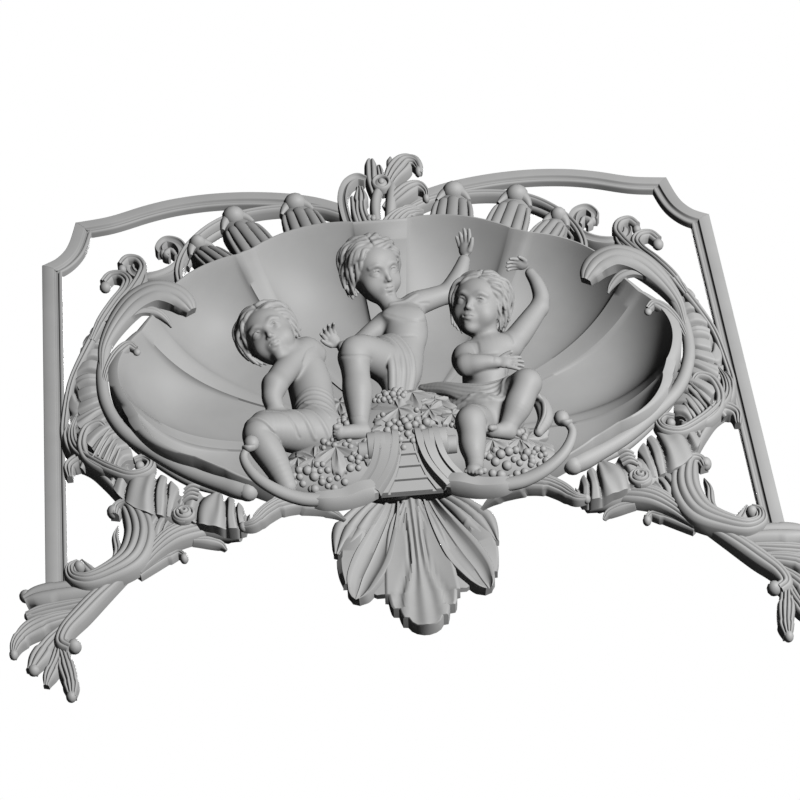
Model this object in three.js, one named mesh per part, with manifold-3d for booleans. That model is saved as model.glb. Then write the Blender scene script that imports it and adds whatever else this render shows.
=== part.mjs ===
// Carved overdoor onlay: a moulding frame, a fluted shell with three seated putti over fruit,
// and scrollwork round it. Millimetres, +X right, +Z up. The wall plane is y = 0 and the
// carving stands out from it towards -Y. The origin is on the centre line, on the wall.
import * as THREE from 'three';
import { mergeVertices } from 'three/addons/utils/BufferGeometryUtils.js';
import Module from 'manifold-3d';

const wasm = await Module();
wasm.setup();

// Driving sizes
const panelWidth = 1000;
const stileWidth = 30;
const railWidth = 27;
const mouldingDepth = 13;
const mitreGap = 0.3;
const restGap = 0.3;
const shellFloor = 14;
const shellWallDepth = 16;
const shellLip = 3;
const gadroonBandWidth = 14;
const armWidth = 15;
const bracketWall = 9;
const pendantThickness = 20;
const plumpness = 1.14;

// Free carving is placed in thousandths of the panel's width, as (x, forward of the wall, z)
const unit = panelWidth / 1000;
const at = ([x, forward, z]) => new THREE.Vector3(x * unit, -forward * unit, z * unit);
const out = new THREE.Vector3(0, -1, 0);
const lerp = THREE.MathUtils.lerp;
const rad = THREE.MathUtils.degToRad;

// Cross-sections as [across, forward] pairs, each within -1 to 1
const round = (sides) => Array.from({ length: sides }, (_, i) => {
  const a = 2 * Math.PI * (i + 0.5) / sides;
  return [Math.cos(a), Math.sin(a)];
});
const ribbed = [[-0.8, -1], [0.8, -1], [1, 0.2], [0, 1], [-1, 0.2]];
const diamond = [[-1, -0.3], [0, -1], [1, -0.3], [0, 1]];
const ridged = [[-1, -0.9], [1, -0.9], [0.65, 0.35], [-0.25, 1]];
const scalloped = [[-1, -1], [1, -1], [0.9, 0.7], [0.35, 0.3], [0, 1], [-0.35, 0.3], [-0.9, 0.7]];

// Solids
function solidOf(points, faces) {
  const geometry = new THREE.BufferGeometry();
  geometry.setAttribute('position', new THREE.Float32BufferAttribute(points.flatMap((p) => p.toArray()), 3));
  geometry.setIndex(faces.flat());
  const merged = mergeVertices(geometry, 1e-4 * unit);
  const index = merged.index.array;
  const position = merged.attributes.position;
  const corner = (i) => new THREE.Vector3().fromBufferAttribute(position, index[i]);
  const kept = [];
  let volume = 0;
  for (let i = 0; i < index.length; i += 3) {
    if (index[i] === index[i + 1] || index[i + 1] === index[i + 2] || index[i] === index[i + 2]) continue;
    kept.push(index[i], index[i + 1], index[i + 2]);
    volume += corner(i).dot(corner(i + 1).cross(corner(i + 2)));
  }
  const triVerts = Uint32Array.from(volume < 0 ? kept.reverse() : kept);
  return new wasm.Manifold(new wasm.Mesh({ numProp: 3, vertProperties: position.array, triVerts }));
}

// Skins a stack of rings that all have as many points, and closes both ends
function loft(rings) {
  const n = rings[0].length;
  const points = rings.flat();
  const faces = [];
  for (let r = 0; r + 1 < rings.length; r += 1) {
    for (let i = 0; i < n; i += 1) {
      const a = r * n + i;
      const b = r * n + (i + 1) % n;
      faces.push([a, b, b + n], [a, b + n, a + n]);
    }
  }
  for (const end of [0, rings.length - 1]) {
    const middle = new THREE.Vector3();
    rings[end].forEach((p) => middle.addScaledVector(p, 1 / n));
    const hub = points.push(middle) - 1;
    for (let i = 0; i < n; i += 1) {
      const a = end * n + i;
      const b = end * n + (i + 1) % n;
      faces.push(end === 0 ? [b, a, hub] : [a, b, hub]);
    }
  }
  return solidOf(points, faces);
}

// Runs a section along a smooth path. Each row is [x, forward, z, half width, half depth].
function sweep(rows, section, { steps = 1, facing = out } = {}) {
  const curve = new THREE.CatmullRomCurve3(rows.map(at), false, 'centripetal');
  const count = (rows.length - 1) * steps;
  const rings = [];
  let side = new THREE.Vector3(1, 0, 0);
  for (let k = 0; k <= count; k += 1) {
    const t = k / count;
    const middle = curve.getPoint(t);
    const along = curve.getTangent(t).normalize();
    const cross = new THREE.Vector3().crossVectors(along, facing);
    if (cross.length() > 0.35) side = cross.normalize();
    else side = side.clone().addScaledVector(along, -side.dot(along)).normalize();
    const front = new THREE.Vector3().crossVectors(side, along);
    const span = Math.min(Math.floor(k / steps), rows.length - 2);
    const share = k / steps - span;
    const w = lerp(rows[span][3], rows[span + 1][3], share) * unit;
    const h = lerp(rows[span][4] ?? rows[span][3], rows[span + 1][4] ?? rows[span + 1][3], share) * unit;
    rings.push(section.map(([a, b]) => middle.clone().addScaledVector(side, a * w).addScaledVector(front, b * h)));
  }
  return loft(rings);
}

// A rounded limb: rows are [x, forward, z, radius]
function limb(rows, sides = 6) {
  return sweep(rows.map(([x, f, z, r]) => [x, f, z, r * plumpness]), round(sides));
}

// An ellipsoid, with its own axes turned to look and crown, and its skin lifted by relief
function ball([x, forward, z], [rx, ry, rz], { look = [0, 1, 0], crown = [0, 0, 1], relief, around = 6, tall = 3 } = {}) {
  const face = at(look).normalize();
  const up = at(crown).addScaledVector(face, -at(crown).dot(face)).normalize();
  const right = new THREE.Vector3().crossVectors(up, face);
  const middle = at([x, forward, z]);
  const rings = [];
  for (let j = 0; j <= tall; j += 1) {
    const polar = Math.PI * lerp(0.06, 0.94, j / tall);
    rings.push(Array.from({ length: around }, (_, i) => {
      const turn = 2 * Math.PI * i / around;
      const lift = relief ? relief(turn, polar) : 1;
      return middle.clone()
        .addScaledVector(right, rx * unit * lift * Math.sin(polar) * Math.cos(turn))
        .addScaledVector(face, ry * unit * lift * Math.sin(polar) * Math.sin(turn))
        .addScaledVector(up, rz * unit * lift * Math.cos(polar));
    }));
  }
  return loft(rings);
}

const join = (...solids) => solids.flat().reduce((a, b) => a.add(b));

// The same solid with its skin moved out: each corner shifts until all its faces clear the distance
function grow(solid, distance) {
  const { vertProperties, triVerts } = solid.getMesh();
  const facing = Array.from({ length: vertProperties.length / 3 }, () => []);
  const corner = (i) => new THREE.Vector3().fromArray(vertProperties, 3 * i);
  for (let i = 0; i < triVerts.length; i += 3) {
    const [a, b, c] = [0, 1, 2].map((k) => corner(triVerts[i + k]));
    const normal = b.sub(a).cross(c.sub(a));
    if (normal.length() < 1e-4) continue;
    normal.normalize();
    for (const k of [0, 1, 2]) facing[triVerts[i + k]].push(normal);
  }
  const moved = Float32Array.from(vertProperties);
  facing.forEach((normals, v) => {
    const shift = new THREE.Vector3();
    for (let pass = 0; pass < 12; pass += 1) {
      for (const n of normals) shift.addScaledVector(n, Math.max(0, distance - n.dot(shift)));
    }
    shift.clampLength(0, 4 * distance).toArray().forEach((d, k) => { moved[3 * v + k] += d; });
  });
  return new wasm.Manifold(new wasm.Mesh({ numProp: 3, vertProperties: moved, triVerts }));
}

// Cuts a solid back to its neighbours with the resting gap, and keeps its main body
function fit(solid, ...neighbours) {
  const cut = neighbours.flat().reduce((rest, other) => rest.subtract(grow(other, restGap)), solid);
  return main(cut);
}

function main(solid) {
  return solid.decompose().reduce((a, b) => (a.volume() >= b.volume() ? a : b));
}

// The same solid on the other side of the centre line
function mirrored(solid) {
  const mesh = solid.getMesh();
  const points = mesh.vertProperties.map((v, i) => (i % 3 === 0 ? -v : v));
  const triVerts = Uint32Array.from(mesh.triVerts).reverse();
  return new wasm.Manifold(new wasm.Mesh({ numProp: 3, vertProperties: points, triVerts }));
}

// Moulding frame: the middle line of one half, its corners mitred
const mouldingProfile = [
  [-0.5, 0], [0.5, 0], [0.5, 0.75], [0.38, 0.92], [0.24, 0.7], [0.1, 1], [-0.42, 1], [-0.5, 0.85],
];
const cornerLine = [[-486, 322], [-472, 330], [-461, 342], [-451, 358], [-444, 380], [-438, 409]];
const railLine = [
  [-438, 409], [-400, 414], [-373, 423], [-345, 434], [-304, 445], [-250, 451], [-190, 449], [-130, 439], [-85, 424],
  [-50, 403],
];
const stileLine = [[-486, -373], [-486, 322]];

function mouldingRun(line, before, after, width) {
  const points = line.map(([x, z]) => new THREE.Vector2(x * unit, z * unit));
  const heading = (a, b) => b.clone().sub(a).normalize();
  const whole = [...before, ...line, ...after].map(([x, z]) => new THREE.Vector2(x * unit, z * unit));
  const rings = points.map((p, i) => {
    const k = i + before.length;
    const into = k > 0 ? heading(whole[k - 1], p) : heading(p, whole[k + 1]);
    const onward = k + 1 < whole.length ? heading(p, whole[k + 1]) : into;
    const bisector = into.clone().add(onward).normalize();
    const stretch = 1 / bisector.dot(into);
    const across = new THREE.Vector2(bisector.y, -bisector.x).multiplyScalar(width * stretch);
    const shift = new THREE.Vector2();
    const inset = mitreGap * stretch / 2;
    if (i === 0 && before.length) shift.addScaledVector(onward, inset);
    if (i === points.length - 1 && after.length) shift.addScaledVector(into, -inset);
    return mouldingProfile.map(([a, b]) => new THREE.Vector3(
      p.x + shift.x - across.x * a, -b * mouldingDepth, p.y + shift.y - across.y * a,
    ));
  });
  return loft(rings);
}

const stile = mouldingRun(stileLine, [], [cornerLine[1]], stileWidth);
const corner = mouldingRun(cornerLine, [stileLine[0]], [railLine[1]], (stileWidth + railWidth) / 2);
const rail = mouldingRun(railLine, [cornerLine.at(-2)], [], railWidth);

// Fluted shell. Angles are in degrees about its hinge, 90 straight up.
const hingeZ = -95;
const rimRows = [
  [90, 349, 125], [73, 357, 124], [56, 370, 121], [43, 388, 117], [27, 396, 112], [14, 400, 108], [2, 376, 105],
  [-8, 344, 106], [-20, 298, 107], [-30, 258, 98], [-43, 216, 80], [-60, 176, 68], [-90, 150, 64],
];
const ribs = [[96.4, 83.6], [58.8, 54.3], [29.8, 24.8], [4.6, 0.5], [-17.1, -24.2], [-58, -62]];
const ribNotch = 9;
const fluteSag = 0.38;
const fluteSteps = [4, 4, 4, 4, 3];

function rimAt(angle) {
  const next = Math.max(1, rimRows.findIndex(([a]) => a <= angle + 1e-6));
  const pick = (c) => {
    const row = (i) => rimRows[Math.min(Math.max(i, 0), rimRows.length - 1)];
    const [p, q, r, s] = [row(next - 2), row(next - 1), row(next), row(next + 1)];
    const t = (q[0] - angle) / (q[0] - r[0]);
    const m0 = (r[c] - p[c]) / (p[0] - r[0] || 1) * (q[0] - r[0]);
    const m1 = (s[c] - q[c]) / (q[0] - s[0] || 1) * (q[0] - r[0]);
    const [t2, t3] = [t * t, t * t * t];
    return (2 * t3 - 3 * t2 + 1) * q[c] + (t3 - 2 * t2 + t) * m0 + (3 * t2 - 2 * t3) * r[c] + (t3 - t2) * m1;
  };
  return [pick(1), pick(2)];
}

// Stations round the rim as [angle, share across the flute], right half first, then the left
function shellStations() {
  const half = [[90, 0], [ribs[0][1], 0]];
  ribs.slice(1).forEach(([start], i) => {
    const from = ribs[i][1];
    for (let k = 1; k < fluteSteps[i]; k += 1) {
      half.push([lerp(from, start, k / fluteSteps[i]), k / fluteSteps[i]]);
    }
    half.push([start, 0], [ribs[i + 1][1], 0]);
  });
  half.push([-76, 0.5], [-90, 0.5]);
  const left = half.slice(1, -1).reverse().map(([angle, share]) => [180 - angle, share]);
  return [...half, ...left];
}

function shellPoint([angle, share], t, layer) {
  const folded = angle > 90 ? 180 - angle : angle;
  const [radius, rimDepth] = rimAt(folded);
  const flute = Math.sin(Math.PI * share);
  const steepness = lerp(6.5, 4, Math.max(0, Math.min(1, (folded - 30) / 60))) * (1 + fluteSag * flute);
  const inside = shellFloor + (rimDepth * unit - shellFloor) * t ** steepness;
  const depth = { inside, lip: inside - shellLip, back: inside - shellWallDepth, wall: 0 }[layer];
  const reach = (radius - ribNotch * (1 - flute ** 0.7)) * t * unit + (layer === 'lip' ? shellLip : 0);
  const a = rad(angle);
  return new THREE.Vector3(reach * Math.cos(a), -depth, hingeZ * unit + reach * Math.sin(a));
}

function shell() {
  const ring = (t, layer) => shellStations().map((station) => shellPoint(station, t, layer));
  const inside = [0.5, 0.72, 0.84, 0.93, 1].map((t) => ring(t, 'inside'));
  return loft([...inside, ring(1, 'lip'), ring(1, 'back'), ring(0.86, 'back'), ring(0.56, 'wall')]);
}

// Scroll laid along the shell's rim, with its pointed leaf and two leaflets
const rimScrollRows = [
  [-272, 100, 96, 1, 2], [-284, 115, 115, 10, 6], [-310, 126, 130, 14, 8], [-350, 124, 118, 13, 8], [-384, 108, 88, 9, 8],
  [-405, 95, 48, 8.5, 8.5], [-412, 88, 3, 8.5, 8.5], [-407, 84, -48, 9, 9], [-385, 81, -100, 10.5, 10.5],
  [-346, 78, -141, 11, 11], [-301, 75, -179, 12, 12], [-256, 74, -207, 13, 13], [-230, 74, -221, 15, 15],
  [-218, 74, -226, 14, 14],
];
const leafletRows = [
  [[-394, 101, 56, 3, 3], [-376, 108, 88, 7, 5], [-344, 116, 100, 9, 5], [-318, 107, 97, 6, 4], [-311, 98, 88, 1, 1]],
  [[-407, 90, -20, 3, 3], [-390, 100, 18, 7, 5], [-372, 107, 42, 7, 4], [-363, 101, 34, 2, 2]],
];
const rimScroll = () => join(
  sweep(rimScrollRows, round(6)),
  leafletRows.map((rows) => sweep(rows, ridged)),
);

// Gadroon band behind the rim, with three clusters of flutes under a knob
const gadroonBandRows = [
  [-296, 50, 222], [-297, 46, 254], [-286, 46, 296], [-256, 46, 336], [-222, 46, 360], [-175, 46, 372], [-125, 46, 373],
  [-84, 46, 366], [-48, 46, 347],
];
// Each cluster: knob, foot at the rim, half spread of its flutes
const clusters = [
  [[-272, 52, 300], [-240, 84, 226], 22], [[-212, 54, 352], [-186, 82, 258], 36], [[-119, 56, 366], [-108, 88, 280], 36],
];
// Stations down a cluster: share of the way, share of the spread, half depth
const clusterStations = [[-0.14, 0.35, 9], [0.03, 0.6, 18], [0.24, 0.5, 13], [1, 1, 18]];
function cluster([knob, foot, spread]) {
  const rows = clusterStations.map(([t, share, depth]) => [
    ...[0, 1, 2].map((k) => lerp(knob[k], foot[k], t) - (k === 1 ? 8 : 0)), spread * share, depth,
  ]);
  return sweep(rows, scalloped);
}
const gadroons = () => join(
  sweep(gadroonBandRows.map((row) => [...row, gadroonBandWidth / 2, 9]), ridged),
  clusters.map(cluster),
);

// Small C-scroll above the side spray
const smallScrollRows = [
  [-322, 40, 288, 3, 6], [-324, 40, 304, 6, 8], [-314, 40, 322, 6, 9], [-297, 40, 318, 6, 9], [-289, 40, 296, 6, 9],
  [-297, 40, 271, 6, 9], [-318, 40, 254, 6, 9], [-345, 42, 247, 6, 9], [-364, 42, 259, 6, 9], [-368, 42, 276, 5, 8],
  [-357, 42, 284, 3, 6],
];
const smallScroll = () => sweep(smallScrollRows, ribbed);

// Side scroll: a spray of three leaves, the slender band below it, ruffles and a volute
const sideSweeps = [
  [[-420, 84, 92, 7, 8], [-394, 95, 138, 9, 10], [-375, 68, 210, 10, 10], [-386, 60, 237, 9, 9], [-404, 58, 232, 8, 8],
    [-404, 58, 215, 5, 5]],
  [[-390, 92, 124, 6, 8], [-362, 70, 210, 9, 9], [-352, 54, 256, 10, 9], [-344, 50, 266, 5, 5]],
  [[-410, 90, 110, 6, 7], [-434, 74, 72, 6, 7], [-457, 53, 32, 5, 7], [-470, 29, -12, 5, 7], [-471, 28, -48, 5, 7],
    [-452, 36, -104, 6, 8]],
];
const ruffleRows = [
  [[-417, 78, 100, 8, 12], [-426, 66, 78, 15, 16], [-429, 60, 62, 9, 11], [-430, 56, 40, 17, 18], [-428, 52, 20, 10, 12],
    [-426, 50, 0, 17, 18], [-425, 46, -20, 12, 12], [-420, 46, -50, 26, 19], [-412, 48, -80, 18, 13], [-404, 50, -104, 26, 17],
    [-392, 50, -132, 15, 12]],
  [[-446, 34, -28, 5, 8], [-431, 47, -98, 9, 10], [-396, 57, -149, 10, 10], [-362, 60, -164, 9, 9], [-352, 60, -148, 8, 8],
    [-368, 60, -139, 9, 9]],
];
const sideScroll = () => join(
  sideSweeps.map((rows) => sweep(rows, ridged)),
  ruffleRows.map((rows) => sweep(rows, ridged)),
);

// Foot scroll: strap from the side, the large C-scroll and the leafy foot
const footSweeps = [
  [ridged, [[-452, 36, -112, 5, 8], [-463, 38, -131, 10, 11], [-446, 40, -146, 12, 12], [-410, 42, -152, 13, 12],
    [-384, 46, -190, 12, 11], [-366, 46, -236, 6, 8]]],
  [ribbed, [[-402, 42, -222, 5, 9], [-394, 44, -208, 10, 12], [-376, 46, -226, 17, 14], [-375, 46, -268, 22, 15],
    [-395, 46, -310, 21, 15], [-438, 42, -330, 15, 13], [-463, 40, -322, 10, 12], [-460, 40, -308, 6, 10]]],
  [ridged, [[-400, 34, -330, 15, 14], [-449, 28, -374, 17, 14], [-478, 24, -408, 13, 12], [-474, 22, -432, 11, 12],
    [-459, 22, -436, 6, 10]]],
];
const footLobes = [
  [[-440, 24, -360, 20, 11], [-496, 24, -354, 22, 13], [-526, 22, -358, 13, 11]],
  [[-466, 19, -382, 14, 11], [-516, 16, -398, 20, 11], [-539, 14, -428, 7, 9]],
  [[-476, 18, -400, 12, 11], [-503, 16, -436, 16, 11], [-514, 14, -466, 7, 8]],
  [[-480, 16, -424, 11, 10], [-489, 14, -464, 13, 10], [-498, 12, -486, 6, 7]],
  [[-482, 15, -430, 10, 10], [-471, 14, -480, 11, 10], [-470, 12, -512, 6, 7]],
];
const footScroll = () => join(
  footSweeps.map(([section, rows]) => sweep(rows, section)),
  footLobes.map((rows) => sweep(rows, ridged)),
);

// Lower leaf with its sprig, springing from the foot scroll
const lowerLeafRows = [
  [[-372, 36, -318, 6, 8], [-352, 42, -292, 13, 10], [-326, 46, -270, 17, 12], [-298, 44, -258, 17, 12],
    [-272, 38, -254, 14, 11], [-257, 32, -260, 9, 9], [-252, 28, -268, 3, 5]],
  [[-374, 30, -322, 5, 6], [-350, 30, -302, 8, 7], [-332, 30, -292, 8, 7], [-317, 30, -294, 5, 6]],
];
const lowerLeaf = () => join(lowerLeafRows.map((rows) => sweep(rows, ridged)));

// Apron: the ruffled shellwork under the rim, with a rose
const apronRows = [
  [-384, 44, -176], [-352, 48, -196], [-322, 50, -218], [-292, 52, -238], [-262, 54, -254], [-236, 56, -266],
];
const roseCentre = [-311, 60, -243];
const apronRibs = 9;
function apron() {
  const line = new THREE.CatmullRomCurve3(apronRows.map(([x, f, z]) => new THREE.Vector3(x, f, z)));
  const ruffle = Array.from({ length: apronRibs }, (_, i) => {
    const t = i / (apronRibs - 1);
    const swell = i % 2 ? 1 : 0.72;
    return [...line.getPoint(t).add(new THREE.Vector3(0, -12, 0)).toArray(), lerp(36, 17, t) * swell, 22 * swell];
  });
  return join(sweep(ruffle, ribbed), ball(roseCentre, [17, 16, 17]));
}

// Acanthus leaf under the front arm
const acanthusRows = [
  [-233, 70, -288, 4, 6], [-216, 72, -284, 9, 9], [-198, 74, -266, 12, 10], [-178, 74, -254, 14, 10],
  [-155, 70, -250, 14, 10], [-130, 60, -250, 10, 9], [-108, 46, -252, 6, 6], [-93, 34, -256, 2, 3],
];
const acanthus = () => sweep(acanthusRows, ribbed);

// Front arm, from the foot of the bracket to its ball end
const armRows = [
  [-214, 116, -178], [-223, 112, -196], [-211, 105, -225], [-184, 95, -246], [-146, 84, -257], [-103, 79, -259],
  [-66, 77, -246],
];
const armHalf = [4, 6, 7, 8, 10, 11, 12];
const arm = () => join(
  sweep(armRows.map((row, i) => [...row, armHalf[i] * armWidth / 15, armHalf[i] * armWidth / 17]), round(6)),
  ball([-211, 116, -178], [11, 11, 11]),
);

// Bracket: two flared straps with a stepped ladder panel between them and volutes on top
const strapRows = [
  [-32, 92, -172, 12, 9], [-27, 94, -190, 12, 9], [-29, 88, -210, 13, 9], [-38, 82, -226, 15, 9], [-51, 76, -242, 16, 9],
];
const ladder = [[-176, 14], [-196, 16], [-214, 20], [-230, 28], [-246, 42]];
function bracket() {
  const straps = sweep(strapRows, ribbed);
  const panel = loft(ladder.map(([z, half]) => {
    const front = lerp(92, 70, (z - ladder[0][0]) / (ladder.at(-1)[0] - ladder[0][0]));
    return [[-half, front - bracketWall], [half, front - bracketWall], [half, front], [-half, front]]
      .map(([x, f]) => at([x, f, z]));
  }));
  const rungs = ladder.slice(1, -1).map(([z, half], i) => {
    const front = lerp(88, 76, i / 2);
    return sweep([[-half, front, z - 2, 3, 5], [half, front, z - 2, 3, 5]], round(4), { facing: out });
  });
  const volute = loft([[-66, 19], [-42, 17], [-14, 15]].map(([x, r]) => round(8).map(([a, b]) => (
    at([x + a * 4, 92 + r * a * 0.95, -178 + r * b])
  ))));
  return join(panel, rungs, straps, mirrored(straps), volute, mirrored(volute));
}

// Pendant leaf: a plate with a stepped, scalloped edge and ribs that fan out from its neck
const pendantEdge = [
  [0, -441], [20, -434], [31, -424], [36, -407], [52, -402], [57, -380], [60, -364], [76, -376], [94, -372], [97, -340],
  [100, -310], [110, -282], [106, -240], [94, -222], [60, -206], [24, -206],
];
const pendantNeck = [0, -236];
const pendantLevels = [[1, 0, 0], [1, 0.55, 0.55], [0.8, 0.8, 1.15], [0.42, 1, 1.35]];
function pendant() {
  const left = pendantEdge.slice(1).reverse().map(([x, z]) => [-x, z]);
  const edge = [...pendantEdge, ...left];
  return loft(pendantLevels.map(([reach, valley, ridge]) => edge.map(([x, z], i) => at([
    lerp(pendantNeck[0], x, reach), pendantThickness * (i % 2 ? valley : ridge) / unit, lerp(pendantNeck[1], z, reach),
  ]))));
}

// Crest: an openwork cartouche of a C-scroll, husks, a flower, grapes and a feathered leaf
const crestSweeps = [
  [ridged, [[-30, 52, 258, 7, 10], [-45, 58, 320, 8, 10], [-48, 60, 372, 8, 10], [-37, 60, 405, 8, 10], [-12, 60, 412, 5, 8]]],
  [ridged, [[2, 56, 386, 7, 8], [0, 60, 430, 10, 10], [2, 60, 452, 5, 6]]],
  [ridged, [[-4, 54, 346, 12, 10], [-24, 60, 388, 13, 11], [-32, 62, 408, 4, 5]]],
  [ridged, [[14, 54, 380, 10, 9], [38, 60, 424, 20, 12], [60, 62, 440, 14, 10], [71, 60, 420, 6, 7]]],
  [ridged, [[10, 50, 340, 14, 11], [44, 60, 374, 17, 12], [70, 62, 384, 11, 10], [79, 58, 366, 5, 6]]],
  [ridged, [[0, 46, 262, 16, 12], [18, 48, 312, 27, 13], [62, 50, 344, 12, 9]]],
  [ridged, [[-8, 46, 262, 12, 12], [-9, 50, 330, 18, 13], [10, 56, 388, 14, 12]]],
];
const crest = () => join(
  crestSweeps.map(([section, rows]) => sweep(rows, section)),
  ball([13, 66, 397], [14, 12, 14]),
);

// Putti: limbs, torso, drapery, face and hair of each, as rows of [x, forward, z, radius]
function head(centre, look, crown) {
  const turned = { look, crown };
  const side = at(crown).cross(at(look)).normalize();
  const spot = (a, f, c) => {
    const up = at(crown).normalize();
    const p = at(centre).addScaledVector(side, a).addScaledVector(at(look).normalize(), f).addScaledVector(up, c);
    return [p.x / unit, -p.y / unit, p.z / unit];
  };
  const locks = (turn, polar) => 1 + 0.05 * Math.cos(5 * turn + 3 * polar) * Math.sin(polar);
  return join(
    ball(spot(0, 5, -6), [33, 35, 43], { ...turned, around: 6, tall: 3 }),
    ball(spot(0, -6, 8), [43, 40, 40], { ...turned, around: 8, tall: 3, relief: locks }),
    ball(spot(0, 37, -8), [5, 7, 9], { ...turned, around: 4, tall: 2 }),
  );
}

const puttoLeft = () => join(
  head([-177, 105, 50], [-0.22, 0.87, -0.43], [-0.25, 0.67, 0.68]),
  limb([[-120, 66, -116, 33], [-121, 62, -58, 29], [-124, 68, -8, 31], [-132, 74, 22, 27], [-148, 82, 28, 17],
    [-166, 96, 30, 15]], 7),
  limb([[-112, 74, 48, 14], [-126, 84, 30, 19], [-150, 99, -18, 17], [-174, 112, -62, 17], [-176, 102, -88, 12]]),
  limb([[-112, 60, -108, 30], [-160, 86, -121, 30], [-200, 108, -133, 22], [-203, 104, -144, 21], [-182, 88, -168, 20],
    [-164, 72, -214, 12]], 7),
  [[-58, 31], [-82, 34]].map(([z, r]) => sweep([
    [-152, 62, z - 14, 3, 3], [-144, 86, z - 6, 5, 5], [-122, 62 + r, z, 5, 5], [-92, 66, z - 4, 3, 3],
  ], diamond)),
);

const puttoCentre = () => join(
  head([-19, 100, 169], [0.45, 0.6, -0.66], [-0.16, 0.69, 0.7]),
  limb([[14, 58, -44, 20], [10, 60, 2, 31], [13, 62, 44, 26], [12, 70, 88, 30], [0, 80, 112, 17], [-12, 92, 134, 14]], 7),
  limb([[18, 72, 102, 15], [36, 74, 116, 17], [90, 70, 142, 14], [115, 84, 188, 9], [119, 88, 212, 13], [124, 90, 234, 8],
    [127, 90, 250, 4]]),
  limb([[-20, 72, 86, 15], [-48, 60, 62, 12], [-70, 62, 52, 9], [-84, 66, 66, 11], [-96, 70, 80, 6]], 5),
  limb([[6, 60, 0, 27], [-24, 96, -10, 26], [-54, 124, -22, 22], [-59, 122, -46, 20], [-60, 108, -84, 18],
    [-61, 92, -124, 13], [-62, 90, -142, 13], [-86, 100, -166, 7]], 7),
  [[-30, 86, 12, 16], [-8, 93, 0, 5]].map(([x, f, z, dz]) => sweep([
    [x - 6, f - 6, z + 36, 4, 4], [x + 12, f, z + 18, 6, 6], [x + 26, f - 2, z - dz, 6, 6], [x + 30, f - 14, z - 40, 4, 4],
  ], diamond)),
);

const puttoRight = () => join(
  head([124, 105, 72], [-0.37, 0.82, -0.43], [0.1, 0.72, 0.68]),
  sweep([[124, 56, -110, 28, 22], [122, 66, -36, 30, 27], [138, 72, 2, 38, 26], [140, 76, 24, 32, 20], [130, 90, 44, 14, 13]],
    round(7)),
  limb([[106, 74, 16, 15], [95, 90, -18, 16], [94, 99, -42, 14], [130, 105, -47, 9], [146, 104, -50, 11], [168, 97, -50, 5]], 5),
  limb([[158, 74, 12, 14], [176, 77, 30, 16], [217, 84, 84, 12], [209, 100, 132, 8], [196, 106, 148, 8], [174, 111, 156, 4]]),
  limb([[138, 62, -98, 27], [172, 117, -95, 20], [166, 113, -114, 19], [136, 92, -166, 12], [108, 102, -181, 7]], 6),
  limb([[116, 62, -112, 25], [88, 118, -166, 19], [86, 113, -186, 17], [86, 107, -232, 11], [81, 114, -256, 9]], 6),
  [[-58, 0], [-80, 14]].map(([z, low]) => sweep([
    [38, 64, z + 2, 4, 5], [72, 78, z + 2, 7, 7], [108, 90, z - 4 - low, 8, 8], [150, 90, z + low * 0.4, 5, 5],
  ], diamond)),
  sweep([[70, 50, -62, 10, 16], [96, 60, -84, 22, 20], [130, 64, -112, 34, 24], [168, 60, -104, 26, 20], [196, 56, -92, 8, 12]],
    round(6)),
);

// Fruit bed that the putti sit on: a mound with grapes and vine leaves
const moundRows = [
  [-178, 40, -196, 24, 32], [-130, 45, -176, 52, 36], [-60, 48, -150, 74, 40], [0, 50, -130, 86, 44],
  [60, 50, -142, 78, 42], [130, 45, -178, 54, 38], [196, 42, -198, 28, 32],
];
const grapes = [[-146, 88, -225], [-22, 97, -72], [130, 92, -230]];
const vineLeaves = [[-112, 83, -198, 38, 0.1], [0, 94, -108, 42, 0.2], [174, 76, -200, 34, -0.5]];
function vineLeaf([x, f, z, size, tilt]) {
  const star = Array.from({ length: 10 }, (_, i) => {
    const a = tilt + 2 * Math.PI * i / 10;
    const r = size * (i % 2 ? 0.6 : 1);
    return [r * Math.sin(a), r * Math.cos(a)];
  });
  return loft([-22, 0].map((lift) => star.map(([a, b]) => at([x + a, f + lift - 0.3 * b, z + b]))));
}
const fruitBed = () => join(
  sweep(moundRows, round(6)),
  grapes.map(([x, f, z]) => ball([x, f - 4, z], [11, 13, 11], { around: 4, tall: 2 })),
  vineLeaves.map(vineLeaf),
);

// Assembly: each piece is fitted to those already in place
const pieces = new Map();
const place = (name, solid, ...neighbours) => {
  const fitted = fit(solid, neighbours.map((key) => pieces.get(key)));
  pieces.set(name, fitted);
};
const both = (name, solid, ...neighbours) => {
  const named = (side) => neighbours.map((key) => (pieces.has(key) ? key : `${side}_${key}`));
  place(`left_${name}`, solid, ...named('left'));
  place(`right_${name}`, mirrored(solid), ...named('right'));
};

both('stile', stile);
both('corner', corner);
both('top_rail', rail);
place('shell', shell(), 'left_top_rail', 'right_top_rail');
both('rim_scroll', rimScroll(), 'shell');
both('foot_scroll', footScroll(), 'stile');
both('side_scroll', sideScroll(), 'shell', 'rim_scroll', 'foot_scroll', 'stile');
both('small_c_scroll', smallScroll(), 'shell', 'side_scroll', 'top_rail');
both('gadroons', gadroons(), 'shell', 'top_rail', 'small_c_scroll');
both('lower_leaf', lowerLeaf(), 'foot_scroll', 'shell');
both('apron', apron(), 'shell', 'rim_scroll', 'foot_scroll', 'side_scroll', 'lower_leaf');
place('bracket', bracket(), 'shell');
both('front_arm', arm(), 'shell', 'bracket');
both('acanthus', acanthus(), 'shell', 'front_arm', 'apron', 'lower_leaf', 'bracket');
place('pendant_leaf', pendant(), 'shell', 'bracket', 'left_acanthus', 'right_acanthus', 'left_front_arm', 'right_front_arm');
place('crest', crest(), 'shell', 'left_gadroons', 'right_gadroons', 'left_top_rail', 'right_top_rail');
place('left_putto', puttoLeft(), 'shell', 'left_front_arm');
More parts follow.
